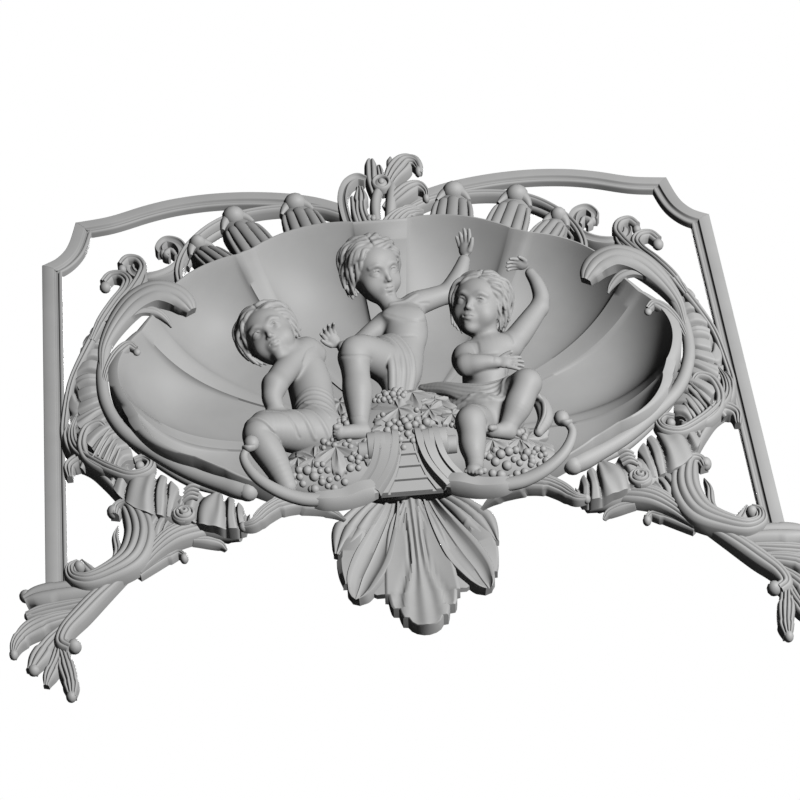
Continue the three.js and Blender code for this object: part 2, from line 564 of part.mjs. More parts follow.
place('right_putto', puttoRight(), 'shell', 'bracket', 'right_front_arm');
place('centre_putto', puttoCentre(), 'shell', 'left_putto', 'right_putto', 'bracket');
place('fruit_bed', fruitBed(), 'shell', 'bracket', 'left_front_arm', 'right_front_arm', 'left_putto', 'centre_putto',
  'right_putto');

const primer = () => new THREE.MeshStandardMaterial({ color: 0x9a9a98, roughness: 0.55, metalness: 0 });
const onlay = new THREE.Group();
for (const [name, solid] of pieces) {
  const mesh = solid.getMesh();
  const geometry = new THREE.BufferGeometry();
  geometry.setAttribute('position', new THREE.Float32BufferAttribute(mesh.vertProperties, 3));
  geometry.setIndex(Array.from(mesh.triVerts));
  const piece = new THREE.Mesh(geometry, primer());
  piece.name = name;
  onlay.add(piece);
}

export default onlay;
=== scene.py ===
"""Carved overdoor onlay in grey-primed wood: a moulding frame, a fluted shell with three seated
putti over fruit, and scrollwork round it. Metres, +X right, +Z up, the wall plane is y = 0."""
import math
import random
import bpy
import numpy as np
from mathutils import Matrix, Vector


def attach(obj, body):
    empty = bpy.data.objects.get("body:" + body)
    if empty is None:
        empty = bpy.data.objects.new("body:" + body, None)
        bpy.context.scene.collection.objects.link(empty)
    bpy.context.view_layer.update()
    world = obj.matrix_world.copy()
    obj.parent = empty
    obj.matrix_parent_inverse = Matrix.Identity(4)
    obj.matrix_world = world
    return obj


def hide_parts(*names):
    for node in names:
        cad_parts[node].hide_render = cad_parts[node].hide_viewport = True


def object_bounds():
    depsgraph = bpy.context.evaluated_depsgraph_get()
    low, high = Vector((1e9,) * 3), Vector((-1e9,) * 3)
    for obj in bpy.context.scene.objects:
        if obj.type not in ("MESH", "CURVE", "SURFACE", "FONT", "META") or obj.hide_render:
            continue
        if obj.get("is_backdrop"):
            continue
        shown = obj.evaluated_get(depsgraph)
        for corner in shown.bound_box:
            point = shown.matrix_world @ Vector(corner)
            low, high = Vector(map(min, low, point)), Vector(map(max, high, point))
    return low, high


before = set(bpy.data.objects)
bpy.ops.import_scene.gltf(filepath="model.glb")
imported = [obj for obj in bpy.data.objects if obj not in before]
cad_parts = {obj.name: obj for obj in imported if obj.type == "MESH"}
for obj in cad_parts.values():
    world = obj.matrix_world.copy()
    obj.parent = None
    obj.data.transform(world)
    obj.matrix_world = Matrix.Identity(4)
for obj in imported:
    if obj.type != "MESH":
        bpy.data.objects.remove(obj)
cad_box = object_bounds()

# Moulding frame: wooden lengths with a rounded inner bead, a hollow and a flat outer band,
# mitred at the corners and glued to the wall. Everything carries the same coat of grey primer,
# with a painted highlight on convex edges and painted shade in hollows. Lengths below are in millimetres.
MILLIMETRE = 0.001
stile_width = 30
rail_width = 27
moulding_depth = 13
mitre_gap = 0.3
primer_grey = (0.34, 0.34, 0.338, 1)


def noise_layer(tree, vector, scale, detail):
    layer = tree.nodes.new("ShaderNodeTexNoise")
    layer.inputs["Scale"].default_value = scale
    layer.inputs["Detail"].default_value = detail
    tree.links.new(vector, layer.inputs["Vector"])
    return layer.outputs["Fac"]


def spread(tree, value, low, high, from_low=0.3, from_high=0.7):
    ramp = tree.nodes.new("ShaderNodeMapRange")
    for name, number in (("From Min", from_low), ("From Max", from_high), ("To Min", low), ("To Max", high)):
        ramp.inputs[name].default_value = number
    tree.links.new(value, ramp.inputs["Value"])
    return ramp.outputs["Result"]


def primer_coat():
    """Brushed primer over carved wood: cloudy tone and fine grain, with a painted highlight on convex edges
    and painted shade in hollows.
    """
    group = bpy.data.node_groups.new("primer_coat", "ShaderNodeTree")
    group.interface.new_socket("Colour", in_out="INPUT", socket_type="NodeSocketColor")
    group.interface.new_socket("Painted Shade", in_out="INPUT", socket_type="NodeSocketFloat")
    group.interface.new_socket("Colour", in_out="OUTPUT", socket_type="NodeSocketColor")
    group.interface.new_socket("Roughness", in_out="OUTPUT", socket_type="NodeSocketFloat")
    group.interface.new_socket("Height", in_out="OUTPUT", socket_type="NodeSocketFloat")
    start = group.nodes.new("NodeGroupInput")
    end = group.nodes.new("NodeGroupOutput")
    place = group.nodes.new("ShaderNodeTexCoord").outputs["Object"]
    clouds = noise_layer(group, place, 22, 3)
    grain = noise_layer(group, place, 900, 2)
    # painted shade and highlight: pointiness darkens the colour in hollows and creases and lightens it on
    # convex edges
    edges = group.nodes.new("ShaderNodeNewGeometry").outputs["Pointiness"]
    edge_light_hollow_shade = spread(group, edges, -1, 1, 0.44, 0.56)
    painted_edge_and_hollow_shade = group.nodes.new("ShaderNodeMath")
    painted_edge_and_hollow_shade.operation = "MULTIPLY"
    group.links.new(edge_light_hollow_shade, painted_edge_and_hollow_shade.inputs[0])
    group.links.new(start.outputs["Painted Shade"], painted_edge_and_hollow_shade.inputs[1])
    tone = group.nodes.new("ShaderNodeMath")
    tone.operation = "ADD"
    group.links.new(spread(group, clouds, 0.97, 1.03), tone.inputs[0])
    group.links.new(painted_edge_and_hollow_shade.outputs[0], tone.inputs[1])
    tint = group.nodes.new("ShaderNodeVectorMath")
    tint.operation = "SCALE"
    group.links.new(start.outputs["Colour"], tint.inputs[0])
    group.links.new(tone.outputs[0], tint.inputs["Scale"])
    group.links.new(tint.outputs[0], end.inputs["Colour"])
    group.links.new(spread(group, clouds, 0.56, 0.64), end.inputs["Roughness"])
    group.links.new(grain, end.inputs["Height"])
    return group


def primed(name, grey, painted_shade_strength, tooth):
    finish = bpy.data.materials.new(name)
    finish.use_nodes = True
    tree = finish.node_tree
    shader = tree.nodes["Principled BSDF"]
    coat = tree.nodes.new("ShaderNodeGroup")
    coat.node_tree = bpy.data.node_groups.get("primer_coat") or primer_coat()
    coat.inputs["Colour"].default_value = grey
    # this input scales the painted shade in hollows and the painted highlight on convex edges
    coat.inputs["Painted Shade"].default_value = painted_shade_strength
    bump = tree.nodes.new("ShaderNodeBump")
    bump.inputs["Strength"].default_value = tooth
    bump.inputs["Distance"].default_value = 0.0002
    tree.links.new(coat.outputs["Colour"], shader.inputs["Base Color"])
    tree.links.new(coat.outputs["Roughness"], shader.inputs["Roughness"])
    tree.links.new(coat.outputs["Height"], bump.inputs["Height"])
    tree.links.new(bump.outputs["Normal"], shader.inputs["Normal"])
    shader.inputs["Specular IOR Level"].default_value = 0.4
    return finish


# 0.08 is how strongly the colour is darkened in hollows and lightened on edges, a painted shade and
# highlight
primed_wood = primed("primed_wood", primer_grey, 0.08, 0.12)


def solid(points, faces):
    """A closed shape as (points, faces) with its faces turned outwards."""
    points = np.asarray(points, float)
    volume = 0
    for face in faces:
        a = points[face[0]]
        for b, c in zip(face[1:-1], face[2:]):
            volume += np.dot(a, np.cross(points[b], points[c]))
    return points, faces if volume > 0 else [tuple(reversed(face)) for face in faces]


def skin(rings):
    """Closes a stack of equal rings into a solid, each end with a flat cap."""
    rings = np.asarray(rings, float)
    many, sides = rings.shape[:2]
    points = np.vstack([rings.reshape(-1, 3), rings[0].mean(0), rings[-1].mean(0)])
    faces = []
    for r in range(many - 1):
        for i in range(sides):
            a, b = r * sides + i, r * sides + (i + 1) % sides
            faces.append((a, b, b + sides, a + sides))
    for end, hub in ((0, many * sides), (many - 1, many * sides + 1)):
        for i in range(sides):
            a, b = end * sides + i, end * sides + (i + 1) % sides
            faces.append((b, a, hub) if end == 0 else (a, b, hub))
    return solid(points, faces)


def mesh_of(name, shapes, mirror=False):
    """An object from shapes in millimetres as [x, forward, z], on either side of the centre line."""
    points, faces, start = [], [], 0
    for shape_points, shape_faces in shapes:
        points.append(shape_points)
        faces += [tuple(i + start for i in face) for face in shape_faces]
        start += len(shape_points)
    points = np.vstack(points) * [-1 if mirror else 1, -1, 1] * MILLIMETRE
    if not mirror:
        faces = [tuple(reversed(face)) for face in faces]
    mesh = bpy.data.meshes.new(name)
    mesh.from_pydata(points.tolist(), [], faces)
    mesh.validate()
    mesh.shade_smooth()
    piece = bpy.data.objects.new(name, mesh)
    bpy.context.scene.collection.objects.link(piece)
    return piece


def pick(piece):
    """Makes piece the one that the next operator works on."""
    bpy.ops.object.select_all(action="DESELECT")
    bpy.context.view_layer.objects.active = piece
    piece.select_set(True)


def settle(piece, node, crease=None):
    """Primes a piece and lets it stand for its node, with edges over crease degrees kept sharp."""
    if crease:
        pick(piece)
        bpy.ops.object.shade_smooth_by_angle(angle=math.radians(crease))
    piece.data.materials.append(primed_wood)
    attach(piece, "root")
    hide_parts(node)


def both(name, shapes, crease):
    """The left piece and its mirror image."""
    for side, mirror in (("left", False), ("right", True)):
        settle(mesh_of(f"{side}_{name}_carved", shapes, mirror), f"{side}_{name}", crease)


corner_line = [(-486, 322), (-472, 330), (-461, 342), (-451, 358), (-444, 380), (-438, 409)]
rail_line = [(-438, 409), (-400, 414), (-373, 423), (-345, 434), (-304, 445), (-250, 451), (-190, 449),
             (-130, 439), (-85, 424), (-50, 403)]
stile_line = [(-486, -373), (-486, 322)]


def moulding_section():
    """Across and forward shares: flat outer band, a hollow, and the inner bead."""
    band = [(-0.5, 0), (-0.5, 0.86), (-0.485, 0.96), (-0.46, 1), (0.04, 1), (0.07, 0.98), (0.09, 0.92)]
    hollow = [(0.09 + 0.19 * u, 0.92 - 0.3 * math.sin(math.pi * min(u, 0.62)) ** 0.8)
              for u in np.linspace(0.1, 0.95, 7)]
    bead = [(0.39 - 0.105 * math.cos(a), 0.68 + 0.24 * math.sin(a)) for a in np.linspace(0.2, math.pi, 8)]
    return band + hollow + bead + [(0.5, 0.55), (0.5, 0)]


def moulding(line, before, after, width, per_span):
    """One length of moulding, cut on the mitre where another length follows."""
    fine = [line[0]]
    for (x0, z0), (x1, z1) in zip(line, line[1:]):
        fine += [(x0 + (x1 - x0) * u, z0 + (z1 - z0) * u) for u in np.linspace(0, 1, per_span + 1)[1:]]
    curve = np.array(fine)
    if len(line) > 2:
        for _ in range(2 * per_span):
            curve[1:-1] = 0.5 * curve[1:-1] + 0.25 * (curve[:-2] + curve[2:])
    whole = np.vstack([*[[p] for p in before], curve, *[[p] for p in after]])
    heading = [(b - a) / np.linalg.norm(b - a) for a, b in zip(whole, whole[1:])]
    rings = []
    for i, middle in enumerate(curve):
        k = i + len(before)
        into, onward = heading[max(k - 1, 0)], heading[min(k, len(heading) - 1)]
        if k == 0:
            into = onward
        bisector = (into + onward) / np.linalg.norm(into + onward)
        stretch = 1 / bisector.dot(into)
        across = np.array([bisector[1], -bisector[0]]) * width * stretch
        shift = np.zeros(2)
        if i == 0 and before:
            shift = onward * mitre_gap * stretch / 2
        if i == len(curve) - 1 and after:
            shift = -into * mitre_gap * stretch / 2
        p = middle + shift
        rings.append([(p[0] + across[0] * a, b * moulding_depth, p[1] + across[1] * a) for a,
                      b in moulding_section()])
    return skin(rings)


both("stile", [moulding(stile_line, [], [corner_line[1]], stile_width, 6)], crease=35)
both("corner", [moulding(corner_line, [stile_line[0]], [rail_line[1]], (stile_width + rail_width) / 2, 6)],
     crease=35)
both("top_rail", [moulding(rail_line, [corner_line[-2]], [], rail_width, 8)], crease=35)

# Fluted shell: one hollowed block whose flutes fan out from a hinge low on the centre line, with
# narrow raised ribs between them and a rim that rises and falls with the flutes. It carries the
# figures and lies on the wall by its flat back.
hinge_z = -95
shell_floor = 14
shell_wall = 16
# angle from +X in degrees, radius, and how far forward the rim stands
rim_table = [
    (90, 349, 125), (73, 357, 124), (56, 370, 121), (43, 388, 117), (27, 396, 112), (14, 400, 108),
             (2, 376, 105),
    (-8, 344, 106), (-20, 298, 107), (-30, 258, 98), (-43, 213, 80), (-60, 164, 68), (-90, 131, 64),
]
# from and to, in degrees, of each rib on the right half
shell_ribs = [(96.4, 83.6), (58.8, 54.3), (29.8, 24.8), (4.6, 0.5), (-17.1, -24.2), (-58, -62)]
flute_sag = 0.46  # how much flatter a flute's floor is than a rib's
band_lift = 2.4
rib_notch = 9  # how far the rim steps in at a rib
flat_back = 0.57  # share of the radius that lies flat on the wall


def through(table, at):
    """Smooth values through a table of (place, value, ...) rows in falling order of place."""
    rows = np.array(table, float)[::-1]
    places, values = rows[:, 0], rows[:, 1:]
    slope = np.gradient(values, places, axis=0)
    k = np.clip(np.searchsorted(places, at) - 1, 0, len(places) - 2)
    span = places[k + 1] - places[k]
    t = (at - places[k]) / span
    return ((2 * t**3 - 3 * t**2 + 1) * values[k] + (t**3 - 2 * t**2 + t) * span * slope[k]
            + (3 * t**2 - 2 * t**3) * values[k + 1] + (t**3 - t**2) * span * slope[k + 1])


def flute_share(folded):
    """0 on a rib, and 0 to 1 to 0 across a flute."""
    for (_, left), (right, _) in zip(shell_ribs, shell_ribs[1:]):
        if right <= folded <= left:
            return max(0, math.sin(math.pi * (left - folded) / (left - right)))
    if folded < shell_ribs[-1][1]:
        return math.sin(math.pi * 0.5 * min(1, (shell_ribs[-1][1] - folded) / 16))
    return 0.0


def shell_skin(angles, reaches, layer):
    rings = []
    for t in reaches:
        ring = []
        for angle in angles:
            folded = 180 - angle if angle > 90 else angle
            radius, rim = through(rim_table, folded)
            flute = flute_share(folded) ** 0.75
            steep = np.interp(folded, (30, 90), (6.5, 4)) * (1 + flute_sag * flute)
            band = band_lift * (flute == 0) * min(1, 2.5 * t * (1 - t) / 0.1)
            inside = shell_floor + (rim - shell_floor) * t**steep + band
            reach = (radius - rib_notch * (1 - flute)) * t
            if layer == "back":
                thick = shell_wall * (1 - 0.55 * max(0, t - 0.8) / 0.2)
                inside = max(0, inside - thick) if t > flat_back else 0
            way = math.radians(angle)
            ring.append((reach * math.cos(way), inside, hinge_z + reach * math.sin(way)))
        rings.append(ring)
    return rings


fine = 1
shell_angles = []
for (_, left), (right, onward) in zip(shell_ribs, shell_ribs[1:]):
    shell_angles += [left, *np.linspace(left - 0.3, right + 0.3, int(22 * fine) + 3), right]
    shell_angles += list(np.linspace(right, onward, 4))[1:-1]
shell_angles = [90] + shell_angles + list(np.linspace(shell_ribs[-1][1], -90, 9))
shell_angles = shell_angles + [180 - a for a in reversed(shell_angles[1:-1])]
inner = shell_skin(shell_angles, [0.03, 0.2, 0.35, *np.linspace(0.46, 0.98, int(56 * fine)), 0.993, 1],
                   "inner")
rim = np.array(inner[-1])
centre = np.array([0, 0, hinge_z])
outward = rim - centre
outward[:, 1] = 0
outward /= np.linalg.norm(outward, axis=1)[:, None]
# low on each side the rim widens under its scroll and has a side wall behind the scroll
folded = [180 - a if a > 90 else a for a in shell_angles]
walled = np.interp(folded, (-56, -40, 8, 30), (0, 1, 1, 0))[:, None]
wider = np.interp(folded, (-16, 0, 16, 32), (0, 1, 1, 0))[:, None]
side_wall = 25
edge = rim + outward * (3 + 11 * wider)
lip = [rim + outward * (1.6 + 5 * wider) + wider * [0, -1, 0], edge + [0, -1.6, 0] + wider * [0, -5, 0],
       edge + [0, -6, 0] + wider * [0, -5, 0] + walled * [0, -side_wall, 0]]
outer = shell_skin(shell_angles, [0.99, 0.95, 0.9, 0.84, 0.76, 0.66, 0.58, flat_back, 0.3, 0.03], "back")
settle(mesh_of("shell_carved", [skin([*inner, *lip, *outer])]), "shell", crease=50)

# Rim scrolls: a smooth round rod laid along each side of the shell's rim, with a rounded lower
# end and a broad blunt leaf at the top, two leaflets on its inner side and a thin strip under it.
# Carved in one length and glued over the rim. Rows are [x, forward, z, half width, half depth].
rod = [(math.cos(a), math.sin(a)) for a in np.linspace(0, 2 * math.pi, 16, endpoint=False)]
thinnest = 0.4


def flow(rows, per_span):
    """More rows on a smooth curve through rows that start with x, forward and z."""
    rows = np.array(rows, float)
    gap = np.maximum(np.linalg.norm(np.diff(rows[:, :3], axis=0), axis=1), 1e-3) ** 0.5
    rows = np.vstack([2 * rows[0] - rows[1], rows, 2 * rows[-1] - rows[-2]])
    knots = np.concatenate([[-gap[0], 0], np.cumsum(gap), [gap.sum() + gap[-1]]])
    fine_rows = []
    for i in range(1, len(rows) - 2):
        p, t = rows[i - 1:i + 3], knots[i - 1:i + 3]
        for u in np.linspace(t[1], t[2], per_span, endpoint=False):
            mix = lambda a, b, ta, tb: ((tb - u) * a + (u - ta) * b) / (tb - ta)
            a = [mix(p[k], p[k + 1], t[k], t[k + 1]) for k in range(3)]
            b = [mix(a[k], a[k + 1], t[k], t[k + 2]) for k in range(2)]
            fine_rows.append(mix(b[0], b[1], t[1], t[2]))
    fine_rows = np.array([*fine_rows, rows[-2]])
    fine_rows[:, 3:] = np.maximum(fine_rows[:, 3:], thinnest)
    return fine_rows


def reeded(ridges, dome=0.4, groove=0.3):
    """A section with rounded ridges over a domed front and straight side walls."""
    across = np.linspace(-1, 1, (8 if ridges < 4 else 6) * ridges + 1)
    front = 1 - dome * across**2 - groove * (1 - np.abs(np.sin(math.pi * ridges * (across + 1) / 2)) ** 0.8)
    return [*zip(across, front), (1, -1), (-1, -1)]


def run(rows, section, per_span=7, bites=0, bite=0.2):
    """Sweeps a section of (across, forward) shares along rows, its edges bitten into steps."""
    rows = flow(rows, per_span)
    middle = rows[:, :3]
    along = np.gradient(middle, axis=0)
    along /= np.linalg.norm(along, axis=1)[:, None]
    rings, side = [], np.array([1.0, 0, 0])
    for i, way in enumerate(along):
        cross = np.cross(way, [0, 1, 0])
        if np.linalg.norm(cross) > 0.3:
            side = cross / np.linalg.norm(cross)
        side = side - way * side.dot(way)
        side /= np.linalg.norm(side)
        front = np.cross(side, way)
        step = 1 - bite * (i / (len(rows) - 1) * bites % 1) ** 1.5 if bites else 1
        rings.append([middle[i] + side * a * rows[i, 3] * step + front * b * rows[i, 4] for a, b in section])
    return skin(rings)


def bead(x, forward, z, *radii):
    """A rounded boss, with one radius or one along each axis."""
    radii = np.array(radii if len(radii) == 3 else radii * 3)
    rings = []
    for polar in np.linspace(0.12, math.pi - 0.12, 8):
        out, up = math.sin(polar), math.cos(polar)
        rings.append([np.array([x, forward, z]) + radii * [out * math.cos(a), out * math.sin(a), up]
                      for a in np.linspace(0, 2 * math.pi, 14)[:-1]])
    return skin(rings)


both("rim_scroll", [
    run([[-398, 101, 66, 6, 7], [-409, 92, 30, 8, 8], [-412, 87, 0, 8.5, 8.5], [-407, 84, -48, 9, 9],
         [-385, 81, -100, 9.5, 9.5], [-346, 78, -141, 10, 10], [-301, 75, -179, 11, 11],
         [-256, 74, -207, 12.5, 12.5], [-236, 74, -218, 14, 14], [-222, 74, -225, 13, 13]], rod),
    bead(-221, 74, -225, 14.5, 14, 14.5),
    run([[-411, 92, 10, 4, 5], [-407, 98, 50, 8, 8], [-386, 110, 90, 14, 11], [-358, 121, 118, 19, 12],
         [-328, 125, 129, 21, 12], [-302, 121, 121, 19, 12], [-287, 115, 107, 14, 11],
         [-281, 111, 98, 8, 9]], reeded(3, 0.5, 0.12)),
    run([[-408, 92, 24, 3, 4], [-398, 102, 64, 5.5, 6], [-378, 112, 93, 7.5, 6], [-352, 117, 104, 8, 5],
         [-330, 113, 101, 6.5, 5], [-316, 104, 91, 4, 4], [-311, 99, 82, 1, 2]], reeded(2, 0.5, 0.2)),
    run([[-410, 88, -14, 3, 4], [-402, 96, 10, 6, 6], [-386, 104, 34, 8.5, 6], [-371, 107, 44, 7.5, 5.5],
         [-362, 104, 38, 5, 5]],
        reeded(3, 0.4, 0.3)),
    bead(-361, 103, 33, 5.5, 5, 6),
    run([[-398, 72, -66, 2, 4], [-376, 68, -110, 5, 6], [-340, 64, -150, 6, 7], [-296, 60, -188, 6, 7],
         [-262, 58, -208, 3, 4]], rod),
], crease=40)

# Side scrolls: a spray of curled leaves at the shoulder of the shell, a slender reeded band that
# runs down outside it, two ruffles against the rim, and a C-leaf that ends in a volute round a
# ball. Carved as one length and glued to the wall and to the rim.
ruffle_back = 14
frill_line = [[-414, 74, 108, 10, 10], [-424, 66, 84, 15, 11], [-428, 61, 62, 16, 11],
              [-431, 56, 38, 19, 11], [-430, 52, 14, 17, 10], [-427, 49, -10, 19, 10],
              [-424, 47, -34, 26, 10], [-416, 48, -62, 30, 11], [-408, 50, -90, 26, 11],
              [-396, 52, -118, 20, 10], [-384, 52, -136, 12, 9]]


def ruffle(line, folds, deep, slant):
    """A ruffled band along [x, forward, z, half width, half depth]: round folds, narrow grooves."""
    wander, groove = 0.25, 0.14
    rows = flow(line, 24)
    middle, rings = rows[:, :3], []
    along = np.gradient(middle, axis=0)
    along /= np.linalg.norm(along, axis=1)[:, None]
    across = np.linspace(-1, 1, 23)
    for i, way in enumerate(along):
        side = np.cross(way, [0, 1, 0])
        side /= np.linalg.norm(side)
        share = i / (len(along) - 1)
        ring = []
        for a in across:
            phase = folds * share + slant * a + wander * math.sin(9 * share + 1.5 * a)
            swell = 1 - math.exp(-math.sin(math.pi * phase) ** 2 / groove)
            small = 0.14 * math.sin(3 * math.pi * phase) ** 2 if int(phase) % 3 == 1 else 0
            half = rows[i, 3] * (1 + 0.16 * (swell - 0.6))
            front = rows[i, 4] * (1 - 0.5 * a * a) + deep * (swell - small - 0.5) * (1 - 0.3 * abs(a))
            ring.append(middle[i] + side * a * half + np.array([0, front, 0]))
        ring += [middle[i] + side * rows[i, 3] * way_out - [0, ruffle_back, 0] for way_out in (1, -1)]
        rings.append(ring)
    return skin(rings)


both("side_scroll", [
    run([[-424, 82, 84, 5, 7], [-410, 90, 112, 8, 9], [-392, 88, 150, 8.5, 9], [-376, 72, 196, 8.5, 9],
         [-373, 64, 222, 9, 9], [-382, 60, 239, 9.5, 9], [-396, 59, 241, 9, 8.5], [-406, 58, 229, 8, 8]],
        reeded(3, 0.4, 0.3)),
    bead(-405, 58, 221, 8.5, 9, 9),
    run([[-396, 92, 112, 5, 7], [-384, 86, 150, 7, 8], [-366, 72, 196, 7, 8], [-354, 60, 236, 7, 8],
         [-350, 54, 262, 7, 8], [-358, 52, 281, 7.5, 8], [-372, 52, 284, 7.5, 8], [-382, 52, 272, 6, 7]],
        reeded(2, 0.4, 0.35)),
    bead(-380, 52, 263, 6.5, 8, 7),
    run([[-404, 92, 108, 4, 6], [-380, 88, 140, 6, 7], [-360, 72, 186, 6.5, 7], [-349, 60, 226, 6, 7],
         [-347, 54, 252, 2, 4]],
        reeded(2, 0.4, 0.35)),
    run([[-386, 92, 134, 3, 5], [-360, 78, 172, 6, 7], [-345, 64, 204, 5, 6], [-339, 56, 224, 1.5, 3]],
        reeded(2, 0.4, 0.35)),
    run([[-410, 90, 110, 7, 8], [-434, 74, 72, 6.5, 8], [-457, 53, 32, 5.5, 8], [-469, 31, -12, 5.5, 8],
         [-471, 28, -48, 6, 8], [-464, 30, -80, 6.5, 8], [-452, 36, -104, 6, 8]], reeded(2, 0.3, 0.35)),
    run([[-417, 66, 100, 7, 12], [-426, 54, 62, 9, 12], [-428, 44, 0, 12, 14], [-418, 40, -60, 16, 14],
         [-398, 44, -116, 12, 12], [-384, 46, -138, 6, 8]], rod, 5),
    ruffle(frill_line, 13, 9, 0.3),
    ruffle([[-440, 50, 60, 4, 6], [-446, 44, 30, 10, 7], [-450, 38, -4, 12, 7], [-447, 36, -36, 12, 7],
            [-444, 38, -60, 6, 6]], 5, 7, -0.2),
    run([[-464, 34, -34, 2, 6], [-467, 36, -58, 6, 9], [-461, 36, -86, 6.5, 9], [-449, 38, -106, 3, 5]],
        reeded(2, 0.4, 0.35)),
    run([[-408, 56, -72, 3, 6], [-419, 60, -61, 6, 8], [-436, 57, -66, 7, 9], [-445, 53, -92, 7.5, 9],
         [-438, 53, -122, 7.5, 9], [-416, 57, -148, 7, 9], [-398, 58, -156, 4, 7]], reeded(2, 0.4, 0.35)),
    *[run([[-430 + 7 * k, 56, -124 - 5 * k, 1.5, 6], [-419 + 6 * k, 60, -103 - 6 * k, 3.2, 7],
           [-408 + 4 * k, 61, -82 - 9 * k, 2.6, 6],
           [-402 + 3 * k, 58, -70 - 11 * k, 1, 3]], rod, 4) for k in range(5)],
    run([[-450, 40, -22, 3, 7], [-459, 38, -50, 6, 9], [-455, 44, -88, 8, 10], [-434, 52, -122, 9, 11],
         [-404, 59, -153, 9, 11], [-376, 62, -169, 8.5, 10], [-355, 63, -163, 8, 10],
         [-350, 63, -148, 7, 9], [-360, 63, -138, 6, 8], [-373, 63, -141, 5, 7]],
        reeded(3, 0.4, 0.3)),
    bead(-366, 65, -152, 7),
], crease=40)

# Small C-scrolls: a double-stepped channel curled at both ends, with flat side walls, that ties
# the spray to the band above the shell. Carved in one and glued to the wall.
channel = [(-1, -1), (-1, 0.7), (-0.86, 1), (-0.6, 1), (-0.46, 0.72), (-0.3, 0.62), (0, 0.5), (0.3, 0.62),
           (0.46, 0.72), (0.6, 1), (0.86, 1), (1, 0.7), (1, -1)]
both("small_c_scroll", [
    run([[-322, 41, 300, 5, 8], [-324, 41, 312, 7, 9], [-314, 41, 325, 7.5, 10], [-298, 41, 319, 8, 10],
         [-289, 41, 296, 8, 10], [-297, 41, 270, 8.5, 10], [-318, 41, 253, 8.5, 10], [-345, 42, 247, 8, 10],
         [-364, 42, 258, 7, 9], [-368, 42, 275, 6, 9], [-357, 42, 284, 4, 7]], channel),
    bead(-319, 41, 301, 6, 9, 6.5),
    run([[-310, 41, 288, 2, 7], [-316, 41, 297, 5, 9], [-308, 41, 305, 5, 9], [-300, 41, 292, 3, 8]],
        reeded(1, 0.5, 0), 5),
    bead(-359, 42, 281, 5, 8, 5),
], crease=40)

# Gadrooned bands: a reeded band that springs behind the rim, with three clusters of round-ended
# flutes under a knob. Carved as one length each side of the crest and glued to the wall.
arched = [(-1, -1), (-1, 0.1), (-0.8, 0.55), (-0.4, 0.85), (0, 0.95), (0.4, 0.85), (0.8, 0.55), (1, 0.1),
          (1, -1)]
cluster_places = [((-268, 52, 296), (-240, 84, 230), 22), ((-212, 54, 350), (-186, 82, 262), 29),
                  ((-119, 56, 366), (-108, 88, 284), 29)]


def cluster(knob, foot, half):
    """A bell of round-ended flutes that spreads from under a knob to the rim."""
    knob, foot = np.array(knob, float), np.array(foot, float)
    way = (foot - knob) / np.linalg.norm(foot - knob)
    side = np.cross(way, [0, 1, 0])
    side /= np.linalg.norm(side)
    spot = lambda t, across, lift: [*(knob + (foot - knob) * t + side * across * half
                                      + [0, lift - 7 * across**2, 0])]
    bell = [[*spot(t, 0, -6), half * wide, deep] for t, wide, deep in (
        (-0.02, 0.5, 10), (0.08, 0.74, 14), (0.24, 0.86, 15), (0.6, 0.94, 15), (1.35, 1.1, 12))]
    shapes = [run(bell, arched, 5)]
    for across, wide in ((-0.92, 0.15), (-0.52, 0.26), (0, 0.3), (0.52, 0.26), (0.92, 0.15)):
        start = 0.22 + 0.16 * abs(across)
        tongue = ((start, 0.82, 2, 0.4, 4), (start + 0.06, 0.85, 6, 0.9, 5), (0.65, 0.97, 7, 1, 6),
                  (1.35, 1.1, 5, 1.05, 6))
        shapes.append(run([[*spot(t, across * out, lift), broad * wide * half, deep]
                           for t, out, lift, broad, deep in tongue], rod, 5))
    shoulders = ((0.24, -0.82, 1, 4, 8), (0.08, -0.5, 5, 8, 11), (0, 0, 8, 10, 13), (0.08, 0.5, 5, 8, 11),
                 (0.24, 0.82, 1, 4, 8))
    shapes.append(run([[*spot(t, out, lift), broad, deep] for t, out, lift, broad, deep in shoulders],
                      rod, 5))
    shapes.append(bead(*spot(0.02, 0, 9), half * 0.6, 18, half * 0.5))
    return shapes


both("gadroons", [
    run([[-296, 46, 218, 6, 9], [-298, 46, 254, 7, 10], [-286, 46, 296, 7, 10], [-256, 46, 336, 7, 10],
         [-222, 46, 360, 7, 10], [-175, 46, 372, 7, 10], [-125, 46, 373, 7, 10], [-84, 46, 366, 7, 10],
         [-48, 46, 347, 7, 10]], reeded(2, 0.3, 0.4)),
    run([[-284, 44, 262, 3, 7], [-270, 46, 296, 4, 8], [-244, 46, 324, 4, 8], [-214, 46, 344, 3, 7]],
        rod, 5),
    *[shape for place in cluster_places for shape in cluster(*place)],
], crease=40)

